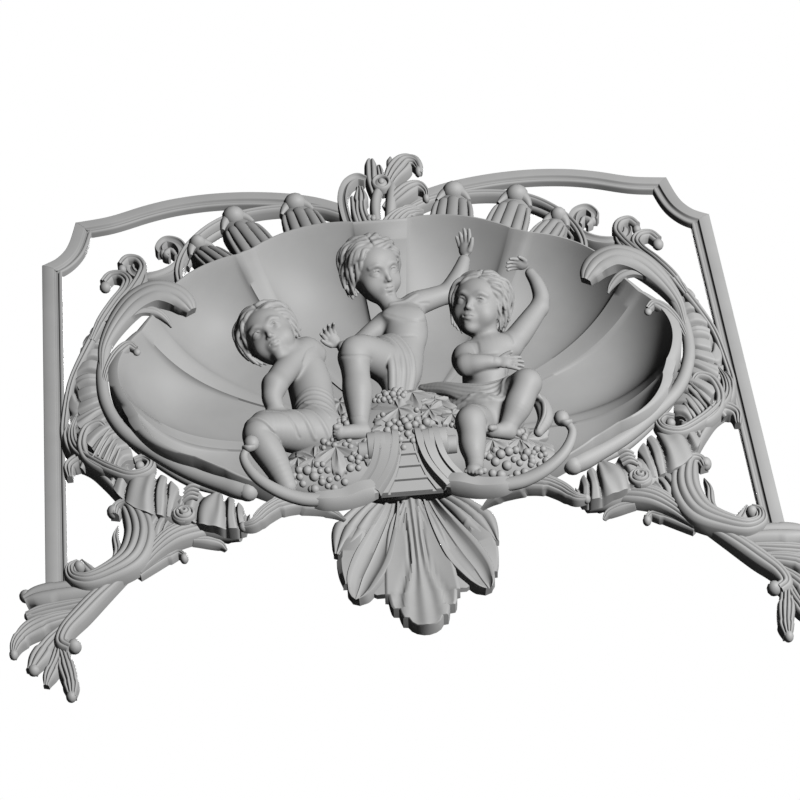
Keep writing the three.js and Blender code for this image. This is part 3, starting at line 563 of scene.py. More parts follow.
# Foot scrolls: a fluted strap from the side, the large reeded C-scroll and the leafy foot that
# overhangs the end of the moulding. Carved as one length and glued to the wall.
both("foot_scroll", [
    run([[-463, 38, -141, 4, 8], [-463, 40, -122, 9, 11], [-448, 42, -113, 12, 12],
         [-428, 44, -126, 12.5, 12], [-406, 45, -156, 12.5, 12], [-386, 46, -192, 12, 11],
         [-372, 46, -226, 9, 9], [-364, 46, -250, 4, 6]], reeded(3, 0.35, 0.35)),
    run([[-446, 44, -131, 3, 8], [-440, 47, -124, 6, 9], [-428, 47, -134, 5, 9], [-424, 46, -146, 3, 7]],
        reeded(1, 0.5, 0), 5),
    run([[-403, 44, -224, 6, 9], [-399, 44, -211, 9, 12], [-386, 46, -209, 13, 13],
         [-374, 47, -232, 19, 15], [-370, 47, -268, 22, 16], [-382, 46, -304, 22, 15],
         [-412, 44, -326, 17, 14], [-444, 42, -336, 13, 13], [-462, 40, -326, 10, 12],
         [-464, 40, -310, 8, 11], [-454, 40, -302, 6, 10]], reeded(4, 0.55, 0.22)),
    bead(-405, 44, -215, 9, 11, 9.5),
    bead(-453, 42, -309, 8, 11, 8),
    run([[-399, 42, -243, 1, 5], [-403, 42, -262, 5, 9], [-401, 42, -290, 6, 9], [-408, 42, -306, 3, 6]],
        reeded(2, 0.4, 0.3), 5),
    run([[-450, 34, -292, 2, 6], [-440, 34, -310, 8, 8], [-428, 34, -326, 9, 8]], reeded(2, 0.4, 0.3), 5),
    run([[-388, 38, -322, 6, 9], [-424, 32, -350, 12, 12], [-452, 28, -380, 13, 13],
         [-474, 26, -408, 11, 12], [-479, 24, -426, 10, 12], [-468, 24, -436, 9, 11]], reeded(3, 0.55, 0.2)),
    bead(-463, 24, -432, 10, 12, 9.5),
    run([[-424, 30, -346, 9, 9], [-456, 30, -340, 17, 12], [-490, 28, -340, 20, 13],
         [-514, 26, -342, 17, 12], [-527, 24, -346, 9, 10]],
        reeded(2, 0.6, 0.3), bites=2, bite=0.12),
    bead(-526, 24, -337, 9, 11, 8),
    run([[-440, 26, -358, 5, 8], [-474, 24, -362, 9, 10], [-506, 22, -366, 10, 10], [-525, 20, -371, 7, 9]],
        reeded(3, 0.5, 0.3)),
    bead(-521, 20, -369, 8, 9, 7),
    run([[-462, 22, -376, 8, 9], [-492, 22, -383, 14, 11], [-520, 20, -394, 16, 11],
         [-538, 18, -414, 10, 10], [-544, 16, -434, 4, 7]],
        reeded(4, 0.5, 0.25), bites=3, bite=0.18),
    bead(-543, 16, -430, 6, 8, 8),
    run([[-474, 20, -396, 8, 9], [-494, 20, -418, 12, 10], [-510, 18, -442, 14, 10],
         [-520, 16, -462, 8, 8]], reeded(3, 0.5, 0.3),
        bites=2, bite=0.18),
    bead(-517, 17, -461, 8, 9, 8),
    run([[-480, 18, -420, 8, 9], [-487, 18, -450, 10, 10], [-497, 16, -474, 9, 9], [-501, 14, -488, 4, 6]],
        reeded(3, 0.5, 0.3),
        bites=2, bite=0.2),
    run([[-482, 18, -424, 8, 10], [-475, 18, -458, 12, 11], [-469, 16, -490, 11, 11],
         [-468, 14, -510, 6, 8]], reeded(4, 0.5, 0.28),
        bites=3, bite=0.16),
    bead(-469, 14, -508, 7, 9, 8),
], crease=40)

# Lower leaves: a long curved leaf with fine parallel lines and a curled tip, and a small sprig
# under it, springing from each foot scroll. Carved in one and glued to the wall.
both("lower_leaf", [
    run([[-374, 36, -322, 4, 8], [-352, 42, -292, 12, 11], [-326, 46, -271, 17, 13],
         [-298, 44, -259, 18, 13], [-274, 38, -254, 15, 12], [-259, 32, -259, 10, 10],
         [-252, 28, -268, 5, 7]], reeded(5, 0.6, 0.2)),
    bead(-253, 28, -266, 6.5, 8, 7),
    run([[-300, 40, -278, 3, 7], [-280, 36, -276, 7, 8], [-262, 30, -280, 5, 7], [-256, 26, -286, 2, 4]],
        reeded(2, 0.5, 0.3), 5),
    run([[-374, 30, -324, 4, 7], [-352, 30, -304, 8, 8], [-334, 30, -293, 8, 8], [-320, 30, -288, 6, 8],
         [-313, 30, -294, 5, 7]],
        reeded(3, 0.5, 0.3), bites=2, bite=0.25),
    bead(-313, 30, -298, 6, 8, 7),
], crease=40)

# Aprons: three fans of ruffled shellwork that fill the space under the rim on each side, with a
# ladder of four short bars and a rose between them. Carved in one and glued to the wall.
rose = (-309, 60, -250)
both("apron", [
    run([[-386, 34, -170, 10, 18], [-356, 36, -198, 28, 22], [-322, 38, -224, 30, 24],
         [-286, 40, -244, 26, 24], [-256, 40, -258, 20, 22], [-234, 40, -268, 10, 16]], rod, 5),
    ruffle([[-394, 48, -150, 14, 8], [-378, 52, -176, 26, 10], [-354, 54, -200, 32, 11],
            [-330, 52, -218, 26, 9], [-316, 48, -228, 18, 7]], 4, 12, 0.6),
    ruffle([[-384, 36, -208, 8, 8], [-366, 42, -234, 16, 9], [-346, 44, -254, 20, 9],
            [-326, 42, -268, 12, 7]], 5, 7, 0.3),
    ruffle([[-306, 52, -212, 16, 8], [-284, 56, -236, 28, 11], [-258, 56, -250, 26, 11],
            [-238, 54, -260, 20, 10], [-224, 52, -264, 12, 7]], 4, 12, 0.4),
    *[run([[-306 - k, 68, -208 - 7 * k, 2, 4], [-296 - k, 72, -205 - 7 * k, 2.6, 5],
           [-286 - k, 69, -206 - 7 * k, 2, 4]], rod, 4) for k in range(4)],
    bead(*rose, 14, 12, 14),
    *[run([[rose[0] + reach * math.cos(a), rose[1] + lift, rose[2] + reach * math.sin(a) * 0.95, 2.6, 4]
           for a in np.linspace(start, start + 4.4, 9)], reeded(1, 0.7, 0), 3)
      for reach, lift, start in ((14.5, 5, 0.4), (13, 7, 2.9), (9, 10, 1.6), (7.5, 11, 4.6),
                                 (3.5, 13, 3.0))],
], crease=40)

# Acanthus leaves: one under each arm of the bracket, its lines running out to stepped points and
# its root curled to a small knob. Carved in one and glued under the shell.
both("acanthus", [
    run([[-232, 70, -287, 4, 7], [-217, 72, -285, 8, 10], [-199, 74, -268, 12, 11],
         [-178, 75, -255, 15, 11], [-155, 71, -250, 15, 11], [-131, 61, -250, 11, 10],
         [-108, 47, -252, 6, 7], [-93, 34, -256, 1.5, 3]], reeded(5, 0.6, 0.22), bites=5, bite=0.16),
    bead(-231, 70, -286, 6, 8, 6.5),
], crease=40)

# Front arms: a rod from each foot of the bracket that sweeps out and up to a ball in front of
# the fruit. Its inner third is flat-faced where it is butted to the bracket.
facet = [(-1, -1), (-1, 0.35), (-0.55, 1), (0.75, 1), (1, 0.6), (1, -1)]
both("front_arm", [
    run([[-213, 117, -170, 4, 4], [-217, 116, -184, 5, 5], [-223, 112, -198, 6, 6],
         [-211, 105, -225, 7.5, 7], [-184, 95, -246, 9, 8], [-150, 85, -257, 10, 9],
         [-120, 81, -259, 10, 9]], rod),
    run([[-132, 82, -258, 9, 8], [-118, 81, -259.5, 11, 10], [-92, 78, -256, 12, 11],
         [-66, 77, -246, 13, 12], [-50, 76, -240, 12, 9]], facet),
    bead(-211, 116, -176, 11, 11, 12),
    run([[-222, 117, -186, 3, 5], [-216, 120, -190, 3.4, 6], [-208, 117, -186, 3, 5]], rod, 4),
], crease=40)

# Bracket: two flared straps with raised edges on either side of a stepped ladder panel, each with
# a drum rolled at its top. Carved in one and glued under the fruit.
strap = [(-1, -1), (-1, 0.8), (-0.96, 1), (-0.5, 1), (-0.46, 0.2), (-0.4, 0.2), (-0.37, 0.66), (0.34, 0.66),
         (0.37, 0.2), (0.42, 0.2), (0.46, 1), (0.96, 1), (1, 0.8), (1, -1)]
ladder = [(-172, 8.5, 95), (-190, 12, 89), (-207, 17.5, 83.5), (-225, 26, 77), (-246, 42, 70)]


def block(corners, thick):
    """A slab behind four or more front corners given as [x, forward, z]."""
    front = np.array(corners, float)
    return skin([front - [0, thick, 0], front])


def drum(x0, x1, forward, z, radius, bore):
    """A short roll along x with a hollowed end at x0."""
    ring = lambda x, r: [[x, forward + r * math.cos(a), z + r * math.sin(a)]
                         for a in np.linspace(0, 2 * math.pi, 24, endpoint=False)]
    deep = x0 + 0.6 * (x1 - x0)
    return skin([ring(deep, bore), ring(x0, bore), ring(x0 + 0.04 * (x1 - x0), radius * 0.98),
                 ring(x0 + 0.1 * (x1 - x0), radius), ring(x1, radius)])


bracket_shapes = []
for side in (-1, 1):
    bracket_shapes.append(run([[side * x, f, z, w, d] for x, f, z, w, d in (
        (27, 82, -158, 15, 6), (27.5, 96, -163, 16.5, 8), (28, 101, -176, 17, 8), (30, 98, -192, 17, 8),
        (35, 91, -209, 16.5, 8), (44, 84, -225, 16, 8), (57, 77, -241, 16.5, 8))], strap))
    bracket_shapes.append(drum(side * 43, side * 12, 88, -176, 18, 0.5))
    bracket_shapes.append(drum(side * 55, side * 30, 89, -175, 20, 16.5))
    bracket_shapes.append(drum(side * 68, side * 34, 86, -180, 13, 0.5))
for (z0, half0, f0), (z1, half1, f1) in zip(ladder, ladder[1:]):
    corner = lambda share, t, lift: [half0 * share * (1 - t) + half1 * share * t,
                                     f0 * (1 - t) + f1 * t + lift, z0 * (1 - t) + z1 * t]
    # each slab: its top (left, right, how far down), its bottom, its lift and its thickness
    for (a, b, top), (c, d, bottom), lift, thick in (
            ((-1, 1, 0), (1, -1, 1), -3, 5), ((-0.98, 0.98, 0), (0.98, -0.98, 0.16), 1, 8),
            ((-0.66, 0.6, 0.32), (0.66, -0.7, 1), 1, 5), ((-0.99, -0.78, 0), (-0.78, -0.99, 1), 1.5, 8),
            ((0.99, 0.78, 0), (0.78, 0.99, 1), 1.5, 8)):
        bracket_shapes.append(block([corner(a, top, lift), corner(b, top, lift),
                                     corner(c, bottom, lift), corner(d, bottom, lift)], thick))
settle(mesh_of("bracket_carved", bracket_shapes), "bracket", crease=35)

# Pendant leaf: a broad central lobe from a fluted neck, two dished lobes with a raised edge
# beside it and two folded ones above, all on one plate with a thick stepped edge.
dished = [(-1, -1), (-1, 0.85), (-0.95, 1), (-0.74, 1), (-0.66, 0.9), (-0.5, 0.5), (-0.3, 0.36),
          (-0.12, 0.38), (-0.05, 0.52), (0.03, 0.38), (0.3, 0.3), (0.52, 0.46), (0.66, 0.9), (0.74, 1),
          (0.95, 1), (1, 0.85), (1, -1)]


def plate(rows, section):
    """A flat plate from rows of (z, half width, forward, thickness)."""
    return skin([[(x * half, forward + share * thick, z) for x, share in section] for z, half, forward,
                 thick in rows])


lobe_line = [(-206, 14), (-222, 14.5), (-231, 19), (-242, 27), (-256, 33), (-270, 37), (-284, 40),
             (-300, 42.5), (-318, 45), (-335, 46.7), (-352, 48), (-366, 49.2), (-378, 50), (-384, 50.3),
             (-385, 46), (-395, 45), (-404, 43.5), (-409, 41), (-410, 34), (-419, 32.5), (-428, 30),
             (-429, 23.5), (-436, 19.5), (-441, 13), (-444, 4)]


def lobe_face(x, z, half):
    """Height of the middle lobe: fluted along its neck, the outer lines parting towards the end."""
    spread_at = np.interp(z, (-444, -385, -335, -290, -250, -222), (34, 26, 11, 9, 10, 13))
    u = abs(x) / spread_at
    flutes = 1.5 * math.cos(2.5 * math.pi * u) * math.exp(-(u / 1.1) ** 4)
    groove = 1.6 * math.exp(-((u - 1.25) / 0.16) ** 2)
    edge = abs(x) / half
    dish = 2.4 * math.sin(math.pi * min(1, edge * 1.05)) * (u > 1)
    return 10 + (flutes - groove) - dish - 3 * max(0, edge - 0.93) / 0.07


lobe_rings = []
for z, half in lobe_line:
    xs = np.linspace(-half, half, 71)
    lobe_rings.append([(-half, 2, z), *[(x, 13 + lobe_face(x, z, half), z) for x in xs], (half, 2, z)])
back_line = [(z, half, 4, 5) for z, half in (
    (-205, 60), (-222, 88), (-250, 100), (-285, 98), (-300, 92), (-340, 84), (-360, 76), (-372, 60))]
back_edge = [(-1, -0.8), (-1, 0.8), (-0.9, 1), (0.9, 1), (1, 0.8), (1, -0.8)]
pendant_shapes = [skin(lobe_rings), plate(back_line, back_edge)]
for side in (-1, 1):
    for rows, section, bites in (
            ([[24, 12, -214, 8, 12], [31, 13, -240, 13, 13], [46, 13, -280, 21, 12],
              [62, 12, -318, 26, 11.5], [76, 11, -348, 23, 11], [82, 10, -364, 18, 10.5],
              [86, 10, -374, 13, 10], [89, 9, -381, 5, 9]], dished, 0),
                                 ([[46, 10, -206, 11, 10], [66, 11, -226, 18, 11], [86, 10, -252, 24, 10.5],
                                   [99, 9, -278, 17, 9], [108, 8, -297, 5, 7]],
             reeded(3, 0.3, 0.45), 2),
            ([[68, 8, -226, 10, 9], [90, 8, -290, 17, 9], [96, 8, -326, 13, 9], [97, 7, -352, 7, 7]],
             facet, 2)):
        pendant_shapes.append(run([[side * row[0], *row[1:]] for row in rows], section, 9, bites=bites,
                                  bite=0.14))
settle(mesh_of("pendant_leaf_carved", pendant_shapes), "pendant_leaf", crease=40)

# Crest: an openwork cartouche at the top of the shell, with a C-scroll on its left, husks with
# curled lips, a flower ring, a bunch of berries and a feather leaf. Carved in one and glued on.
crest_shapes = [
    run([[-26, 50, 250, 5, 9], [-38, 54, 290, 7, 10], [-46, 58, 330, 7.5, 10], [-47, 60, 372, 7.5, 10],
         [-37, 61, 401, 8, 10], [-22, 61, 411, 8, 10], [-10, 61, 406, 6, 9]], channel),
    run([[-18, 48, 256, 5, 9], [-27, 54, 300, 5, 9], [-33, 58, 340, 4, 8], [-33, 60, 372, 3, 7]],
        reeded(1, 0.6, 0), 5),
    run([[1, 56, 374, 5, 8], [-1, 60, 404, 9, 10], [0, 61, 428, 10, 11], [1, 62, 446, 8, 10],
         [2, 60, 454, 3, 6]], reeded(2, 0.4, 0.45)),
    run([[12, 56, 380, 4, 8], [14, 60, 412, 6, 9], [13, 61, 432, 5, 9], [12, 60, 440, 2, 5]],
        reeded(2, 0.4, 0.4), 5),
    run([[18, 54, 382, 6, 9], [28, 60, 406, 12, 11], [42, 63, 428, 18, 12], [54, 64, 441, 16, 11],
         [66, 63, 438, 9, 10], [72, 61, 424, 5, 8]],
        reeded(4, 0.4, 0.35)),
    run([[28, 58, 424, 3, 7], [30, 60, 446, 5, 8], [32, 60, 458, 2, 4]], reeded(1, 0.5, 0), 5),
    run([[58, 64, 452, 4, 7], [69, 65, 444, 5, 8], [74, 64, 428, 5, 8], [74, 62, 414, 3, 6]], rod, 5),
    bead(71, 62, 420, 6, 9, 9),
    run([[16, 50, 352, 8, 9], [34, 58, 366, 13, 11], [54, 62, 380, 14, 12], [68, 62, 384, 10, 10],
         [77, 60, 374, 6, 8], [78, 58, 362, 4, 7]],
        reeded(3, 0.4, 0.35)),
    bead(77, 58, 362, 5.5, 8, 7),
    run([[40, 58, 384, 3, 6], [52, 60, 392, 4, 7], [61, 60, 400, 1.5, 4]], reeded(1, 0.5, 0), 5),
    run([[4, 46, 268, 10, 11], [16, 50, 300, 18, 12], [34, 54, 326, 18, 12], [54, 54, 338, 13, 10],
         [70, 50, 338, 5, 7]], reeded(5, 0.4, 0.3),
        bites=3, bite=0.2),
    run([[6, 48, 268, 4, 9], [26, 56, 290, 10, 11], [44, 56, 296, 8, 9], [56, 52, 290, 3, 6]],
        reeded(3, 0.4, 0.35), 5),
    run([[-6, 46, 262, 8, 11], [-14, 52, 300, 12, 12], [-22, 57, 340, 11, 11], [-20, 60, 372, 11, 11],
         [-20, 60, 392, 6, 8]],
        reeded(3, 0.4, 0.35), bites=3, bite=0.25),
    run([[2, 50, 300, 6, 11], [-1, 55, 340, 8, 12], [4, 58, 374, 8, 12], [12, 58, 390, 6, 10]], rod, 5),
    run([[20, 50, 330, 8, 10], [24, 56, 356, 9, 11], [28, 58, 384, 8, 11], [30, 58, 400, 5, 8]], rod, 5),
    bead(12, 62, 396, 12, 9, 13),
    *[run([[13 + 12 * math.cos(a), 66, 395 + 14 * math.sin(a), 3.4, 6]
           for a in np.linspace(start, start + 2.2, 6)], reeded(1, 0.7, 0), 4) for start in (0.1, 2.2, 4.3)],
    bead(13, 70, 396, 5, 4, 6),
    *[bead(-8 + 6.5 * math.cos(2.4 * k) * (0.4 + 0.16 * k), 62 - 0.3 * k,
           322 + 13 * math.sin(2.4 * k) * (0.4 + 0.12 * k) - 1.5 * k, 4.6) for k in range(9)],
]
settle(mesh_of("crest_carved", crest_shapes), "crest", crease=40)

# Left putto: a seated child carved in the round, its head thrown back, one arm drawn across the
# chest, and a cloth gathered round its hips and thighs. It is shaped as clay is, from limbs and
# balls pressed into one skin, with folds, locks and features laid on and cut in.
clay_cell = 1.25  # grid step
clay_kept = 0.55  # share of faces left after thinning
empty = 50  # distance far from any skin


class Clay:
    """A block on a grid that holds each point's distance from the skin, in millimetres."""

    def __init__(self, low, high, cell=clay_cell):
        self.low, self.cell = np.array(low, float), cell
        self.size = np.ceil((np.array(high) - low) / cell).astype(int) + 1
        self.field = np.full(self.size, empty, np.float32)

    def window(self, points, reach):
        a = np.clip(np.floor((points.min(0) - reach - self.low) / self.cell).astype(int), 0, self.size - 1)
        b = np.clip(np.ceil((points.max(0) + reach - self.low) / self.cell).astype(int) + 1, a + 1,
                    self.size)
        axes = [self.low[k] + self.cell * np.arange(a[k], b[k]) for k in range(3)]
        grid = np.stack(np.meshgrid(*axes, indexing="ij"), -1).astype(np.float32)
        return tuple(slice(i, j) for i, j in zip(a, b)), grid

    def press(self, where, distance, soft, cut=False):
        old = self.field[where]
        if cut:
            old = -old
        gap = np.maximum(soft - np.abs(old - distance), 0) / max(soft, 1e-3)
        new = np.minimum(old, distance) - gap**2 * soft / 4
        self.field[where] = -new if cut else new

    def limb(self, rows, soft=6, cut=False, squash=(1, 1, 1), per_span=5, flow_rows=True):
        """A round run through rows of [x, forward, z, radius], squashed along its axes."""
        rows = flow(rows, per_span) if flow_rows else np.array(rows, float)
        squash = np.array(squash, float)
        reach = rows[:, 3].max() + soft + 6
        where, grid = self.window(rows[:, :3], reach)
        shape = np.full(grid.shape[:3], empty, np.float32)
        for p, q in zip(rows, rows[1:]):
            ends = np.array([p[:3], q[:3]])
            around = max(p[3], q[3]) + soft + 6
            a = np.clip(np.floor((ends.min(0) - around - grid[0, 0, 0]) / self.cell).astype(int), 0, None)
            b = np.ceil((ends.max(0) + around - grid[0, 0, 0]) / self.cell).astype(int) + 1
            part = tuple(slice(i, max(j, i + 1)) for i, j in zip(a, b))
            here = grid[part]
            if not here.size:
                continue
            start = (here - ends[0]) / squash
            along = (ends[1] - ends[0]) / squash
            share = np.clip(start @ along / max(along @ along, 1e-9), 0, 1)
            away = np.linalg.norm(start - share[..., None] * along, axis=-1) - (p[3] + (q[3] - p[3]) * share)
            shape[part] = np.minimum(shape[part], away * squash.min() ** 0.5)
        self.press(where, shape, soft, cut)

    def ball(self, middle, radii, soft=6, axes=None, cut=False):
        """An ellipsoid with its radii along axes (rows: side, ahead, up)."""
        middle, radii = np.array(middle, float), np.array(radii, float)
        where, grid = self.window(middle[None], radii.max() + soft + 6)
        local = (grid - middle) @ (np.eye(3) if axes is None else np.array(axes).T)
        near = np.linalg.norm(local / radii, axis=-1)
        steep = np.linalg.norm(local / radii**2, axis=-1)
        self.press(where, near * (near - 1) / np.maximum(steep, 1e-6), soft, cut)

    def drop(self, points, lift=0.0):
        """Moves points along the slope until they lie at lift above the skin."""
        points = np.array(points, float)
        for _ in range(6):
            value, slope = self.sample(points)
            points = points - (value - lift)[:, None] * slope * 0.9
        return points

    def sample(self, points):
        def read(p):
            g = np.clip((p - self.low) / self.cell, 0, self.size - 1.001)
            i = g.astype(int)
            w = g - i
            total = 0
            for c in np.ndindex(2, 2, 2):
                share = np.prod(np.where(c, w, 1 - w), axis=1)
                total = total + share * self.field[tuple((i + c).T)]
            return total
        value = read(points)
        slope = np.stack([read(points + e) - read(points - e) for e in np.eye(3) * self.cell], 1)
        return np.clip(value, -12, 12), slope / np.maximum(np.linalg.norm(slope, axis=1)[:, None], 1e-6)

    def ridge(self, rows, lift=-0.4, soft=2.5, cut=False, per_span=6):
        """A fold, lock or crease that follows the skin through rows of [x, forward, z, radius]."""
        rows = flow(rows, per_span)
        rows[:, :3] = self.drop(rows[:, :3], lift)
        self.limb(rows, soft, cut, flow_rows=False)

    def skin(self):
        """The zero surface as (points, faces)."""
        inside = self.field < 0
        corners = [inside[tuple(slice(c[k], self.size[k] - 1 + c[k]) for k in range(3))]
                   for c in np.ndindex(2, 2, 2)]
        count = np.sum(corners, axis=0)
        cells = np.argwhere((count > 0) & (count < 8))
        number = np.full(self.size, -1, int)
        number[tuple(cells.T)] = np.arange(len(cells))
        total, hits = np.zeros((len(cells), 3)), np.zeros(len(cells))
        for axis in range(3):
            step = np.eye(3, dtype=int)[axis]
            for side in np.ndindex(2, 2):
                base = np.insert(np.array(side), axis, 0)
                a, b = self.field[tuple((cells + base).T)], self.field[tuple((cells + base + step).T)]
                crossed = (a < 0) != (b < 0)
                share = np.where(crossed, a / np.where(crossed, a - b, 1), 0)
                total += crossed[:, None] * (base + share[:, None] * step)
                hits += crossed
        points = self.low + self.cell * (cells + total / hits[:, None])
        faces = []
        for axis in range(3):
            step = np.eye(3, dtype=int)[axis]
            p, q = np.eye(3, dtype=int)[(axis + 1) % 3], np.eye(3, dtype=int)[(axis + 2) % 3]
            core = tuple(slice(1, n - 1) for n in self.size)
            here = inside[core]
            there = inside[tuple(slice(1 + s, n - 1 + s) for s, n in zip(step, self.size))]
            for sign, found in ((1, here & ~there), (-1, ~here & there)):
                edges = np.argwhere(found) + 1
                ring = [number[tuple((edges - o).T)] for o in (p * 0, p, p + q, q)]
                quads = np.stack(ring if sign > 0 else ring[::-1], 1)
                faces.append(quads)
        return points, np.vstack(faces)


def frame_of(look, crown):
    """Side, ahead and up of a head or hand that looks along look, as [x, forward, z] rows."""
    ahead = np.array(look, float) / np.linalg.norm(look)
    up = np.array(crown, float) - ahead * np.dot(crown, ahead)
    up /= np.linalg.norm(up)
    return np.array([np.cross(up, ahead), ahead, up])


def head(clay, middle, look, crown, part=0.0, curl=1.0, length=118, fall_by=20, seed=1):
    """A child's head with calm, even features, and hair in wavy locks down from a parting."""
    axes = frame_of(look, crown)
    middle = np.array(middle, float)
    at = lambda side, ahead, up: middle + side * axes[0] + ahead * axes[1] + up * axes[2]
    strip = lambda rows: [[*at(*row[:3]), row[3]] for row in rows]
    # skull, face and brow, then on each side the cheek, eye socket, eye, eyebrow and two lids
    clay.ball(at(0, -4, 8), (37, 39, 38), 4, axes)
    clay.ball(at(0, 8, -12), (30, 29, 33), 10, axes)
    clay.ball(at(0, 17, 14), (27, 19, 22), 8, axes)
    for side in (-1, 1):
        clay.ball(at(17 * side, 19, -16), (12, 12, 13), 7, axes)
        clay.ball(at(14.5 * side, 43.4, 0.4), (8.4, 10.6, 6), 6, axes, cut=True)
        clay.ball(at(14.5 * side, 27.6, -0.5), (7.6, 6.4, 5.6), 1.5, axes)
        clay.limb(strip([(6 * side, 35, 8, 1.5), (13 * side, 35.5, 11, 2), (22 * side, 30, 8.5, 1.6)]), 5)
        clay.limb(strip([(7.5 * side, 33, 0.5, 0.8), (12 * side, 35, 3.8, 1.1),
                         (17.5 * side, 33.4, 3.4, 1.1), (22 * side, 29, 0, 0.8)]), 1.2)
        clay.limb(strip([(8 * side, 32.4, -1, 0.6), (13 * side, 33.4, -4.6, 0.9),
                         (18 * side, 31.8, -4, 0.9), (22 * side, 29, -1, 0.6)]), 1.2)
    # chin, then the nose with its wings and nostrils
    clay.ball(at(0, 25.5, -37), (9, 9, 8), 8, axes)
    clay.limb(strip([(0, 33.5, 7, 2.4), (0, 35.5, -1, 2.6), (0, 39, -8, 3.4), (0, 40.4, -11.5, 3.9)]), 4)
    for side in (-1, 1):
        clay.ball(at(3.9 * side, 36.6, -13.2), (2.7, 3.2, 2.5), 2, axes)
        clay.ball(at(2.2 * side, 39.6, -16.6), (1.1, 2, 1.2), 0.8, axes, cut=True)
    # mouth: its mound, the two lips, the line between them and the dip under them
    clay.ball(at(0, 31, -24), (10, 7, 8), 6, axes)
    clay.limb(strip([(-7.4, 34.4, -23.4, 1), (-2.6, 37.4, -21.4, 1.8), (0, 37.5, -22, 1.7),
                     (2.6, 37.4, -21.4, 1.8), (7.4, 34.4, -23.4, 1)]), 2)
    clay.limb(strip([(-5.6, 34.4, -26, 1.1), (0, 36.6, -27.2, 2.3), (5.6, 34.4, -26, 1.1)]), 2)
    clay.limb(strip([(-8.2, 34.2, -23.8, 0.5), (-2.6, 39, -24, 0.8), (0, 39.4, -24.5, 0.8),
                     (2.6, 39, -24, 0.8), (8.2, 34.2, -23.8, 0.5)]), 0.8, cut=True)
    clay.ball(at(0, 38.6, -31.4), (5, 2.6, 1.6), 3, axes, cut=True)
    # hair: a cap over the skull, then wavy locks that fall from the crown to the face, ears and nape
    clay.ball(at(0, -10, 11), (39, 35, 36), 3, axes)
    rng = random.Random(seed)

    def polar_way(polar, turn):
        """The way from the crown down by polar and round by turn, in degrees."""
        polar, turn = math.radians(polar), math.radians(turn)
        return np.array([math.sin(polar) * math.sin(turn), math.sin(polar) * math.cos(turn),
                         math.cos(polar)])

    for layer, many in ((0, 21), (1, 15)):
        for side in (-1, 1):
            for k in range(many):
                back = (k + 0.3 + 0.4 * layer) / many
                start = polar_way(*((58 - 62 * back, 0) if back < 0.8 else (22, 180)))
                start[0] += part * (1 - back) + 0.03 * side
                fall = length - 22 * layer - 60 * max(0, 0.22 - back) + rng.uniform(-7, 6)
                end = polar_way(fall, side * (60 + 120 * back + rng.uniform(-3, 3)))
                start /= np.linalg.norm(start)
                across = np.cross(start, end)
                across /= np.linalg.norm(across)
                wave, phase = curl * rng.uniform(1.8, 3.4), rng.uniform(0, 6.28)
                bulk = rng.uniform(2.9, 3.9)
                hang = fall_by * rng.uniform(0.8, 1.15) * min(1, 6 * back)
                rows = []
                for u in np.linspace(0.03, 1, 13):
                    angle = math.acos(np.clip(start @ end, -1, 1))
                    way = (math.sin((1 - u) * angle) * start + math.sin(u * angle) * end) / math.sin(angle)
                    shift = wave * math.sin(phase + 10 * u) * min(1, 3 * u)
                    out_by = (38.5 + 3.2 * layer + 1.9 * math.sin(phase + 10 * u + 1.4) + 3.5 * u**3
                              + 3 * math.sin(math.pi * u))
                    low = max(0, u - 0.5) ** 2 * 4
                    p = way * out_by * [1, 0.95, 0.96] * [1 - 0.06 * low, 1 - 0.1 * low, 1]
                    p = p + across * shift - [0, 0, hang * low]
                    rows.append([*at(p[0], p[1] - 10, p[2] + 11), bulk * (1.05 - 0.5 * u**4)])
                clay.limb(rows, 0.5, per_span=2)


def hand(clay, palm, look, crown, spreads, curl, size=1.0, thumb=1):
    """A small hand: a palm and four fingers up along crown, bent towards look, with a thumb."""
    axes = frame_of(look, crown)
    at = lambda side, ahead, up: (np.array(palm, float)
                                  + size * (side * axes[0] + ahead * axes[1] + up * axes[2]))
    clay.ball(at(0, 0, 0), np.array((10, 5.5, 11.5)) * size, 4, axes)
    for k, reach in enumerate((19, 22, 21, 17)):
        side = (k - 1.5) * 5
        lean = math.radians(spreads * (k - 1.5))
        rows = [(side, 0, 6, 3.3)]
        for joint, share in ((0.36, 3.1), (0.7, 2.8), (1, 2.3)):
            bend = math.radians(curl * joint)
            far = reach * joint
            rows.append((side + far * math.sin(lean), far * math.sin(bend) * 0.8,
                         7 + far * math.cos(bend) * math.cos(lean), share))
        clay.limb([[*at(*row[:3]), row[3] * size] for row in rows], 1.0, per_span=3)
    rows = [(7 * thumb, 1, -4, 4), (12 * thumb, 3, 3, 3.4), (15 * thumb, 5, 10, 2.7)]
    clay.limb([[*at(*row[:3]), row[3] * size] for row in rows], 1.5, per_span=3)


def foot(clay, ankle, toes, up, width=10, dips=5):
    """A foot from the ankle to the toes, with five rounded toes across its end."""
    ankle, toes = np.array(ankle, float), np.array(toes, float)
    ahead = (toes - ankle) / np.linalg.norm(toes - ankle)
    up = np.array(up, float) - ahead * np.dot(up, ahead)
    up /= np.linalg.norm(up)
    side = np.cross(ahead, up)
    clay.limb([[*(ankle - ahead * 5 - up * 3), 11], [*(ankle + ahead * 6 - up * 1), 11],
               [*(toes - ahead * 8), 8.6]], 5)
    clay.limb([[*(toes - ahead * 8 - side * width * 0.55), 5.4],
               [*(toes - ahead * 8 + side * width * 0.5), 6]], 4)
    for k, (r, back) in enumerate(((4.5, 0), (3.1, -0.8), (2.9, 0.6), (2.7, 2.4), (2.5, 4.6))):
        middle = toes + side * width * (0.95 - 0.5 * k) - ahead * back
        clay.limb([[*(middle - ahead * 7), r * 0.9], [*middle, r]], 0.6, flow_rows=False)


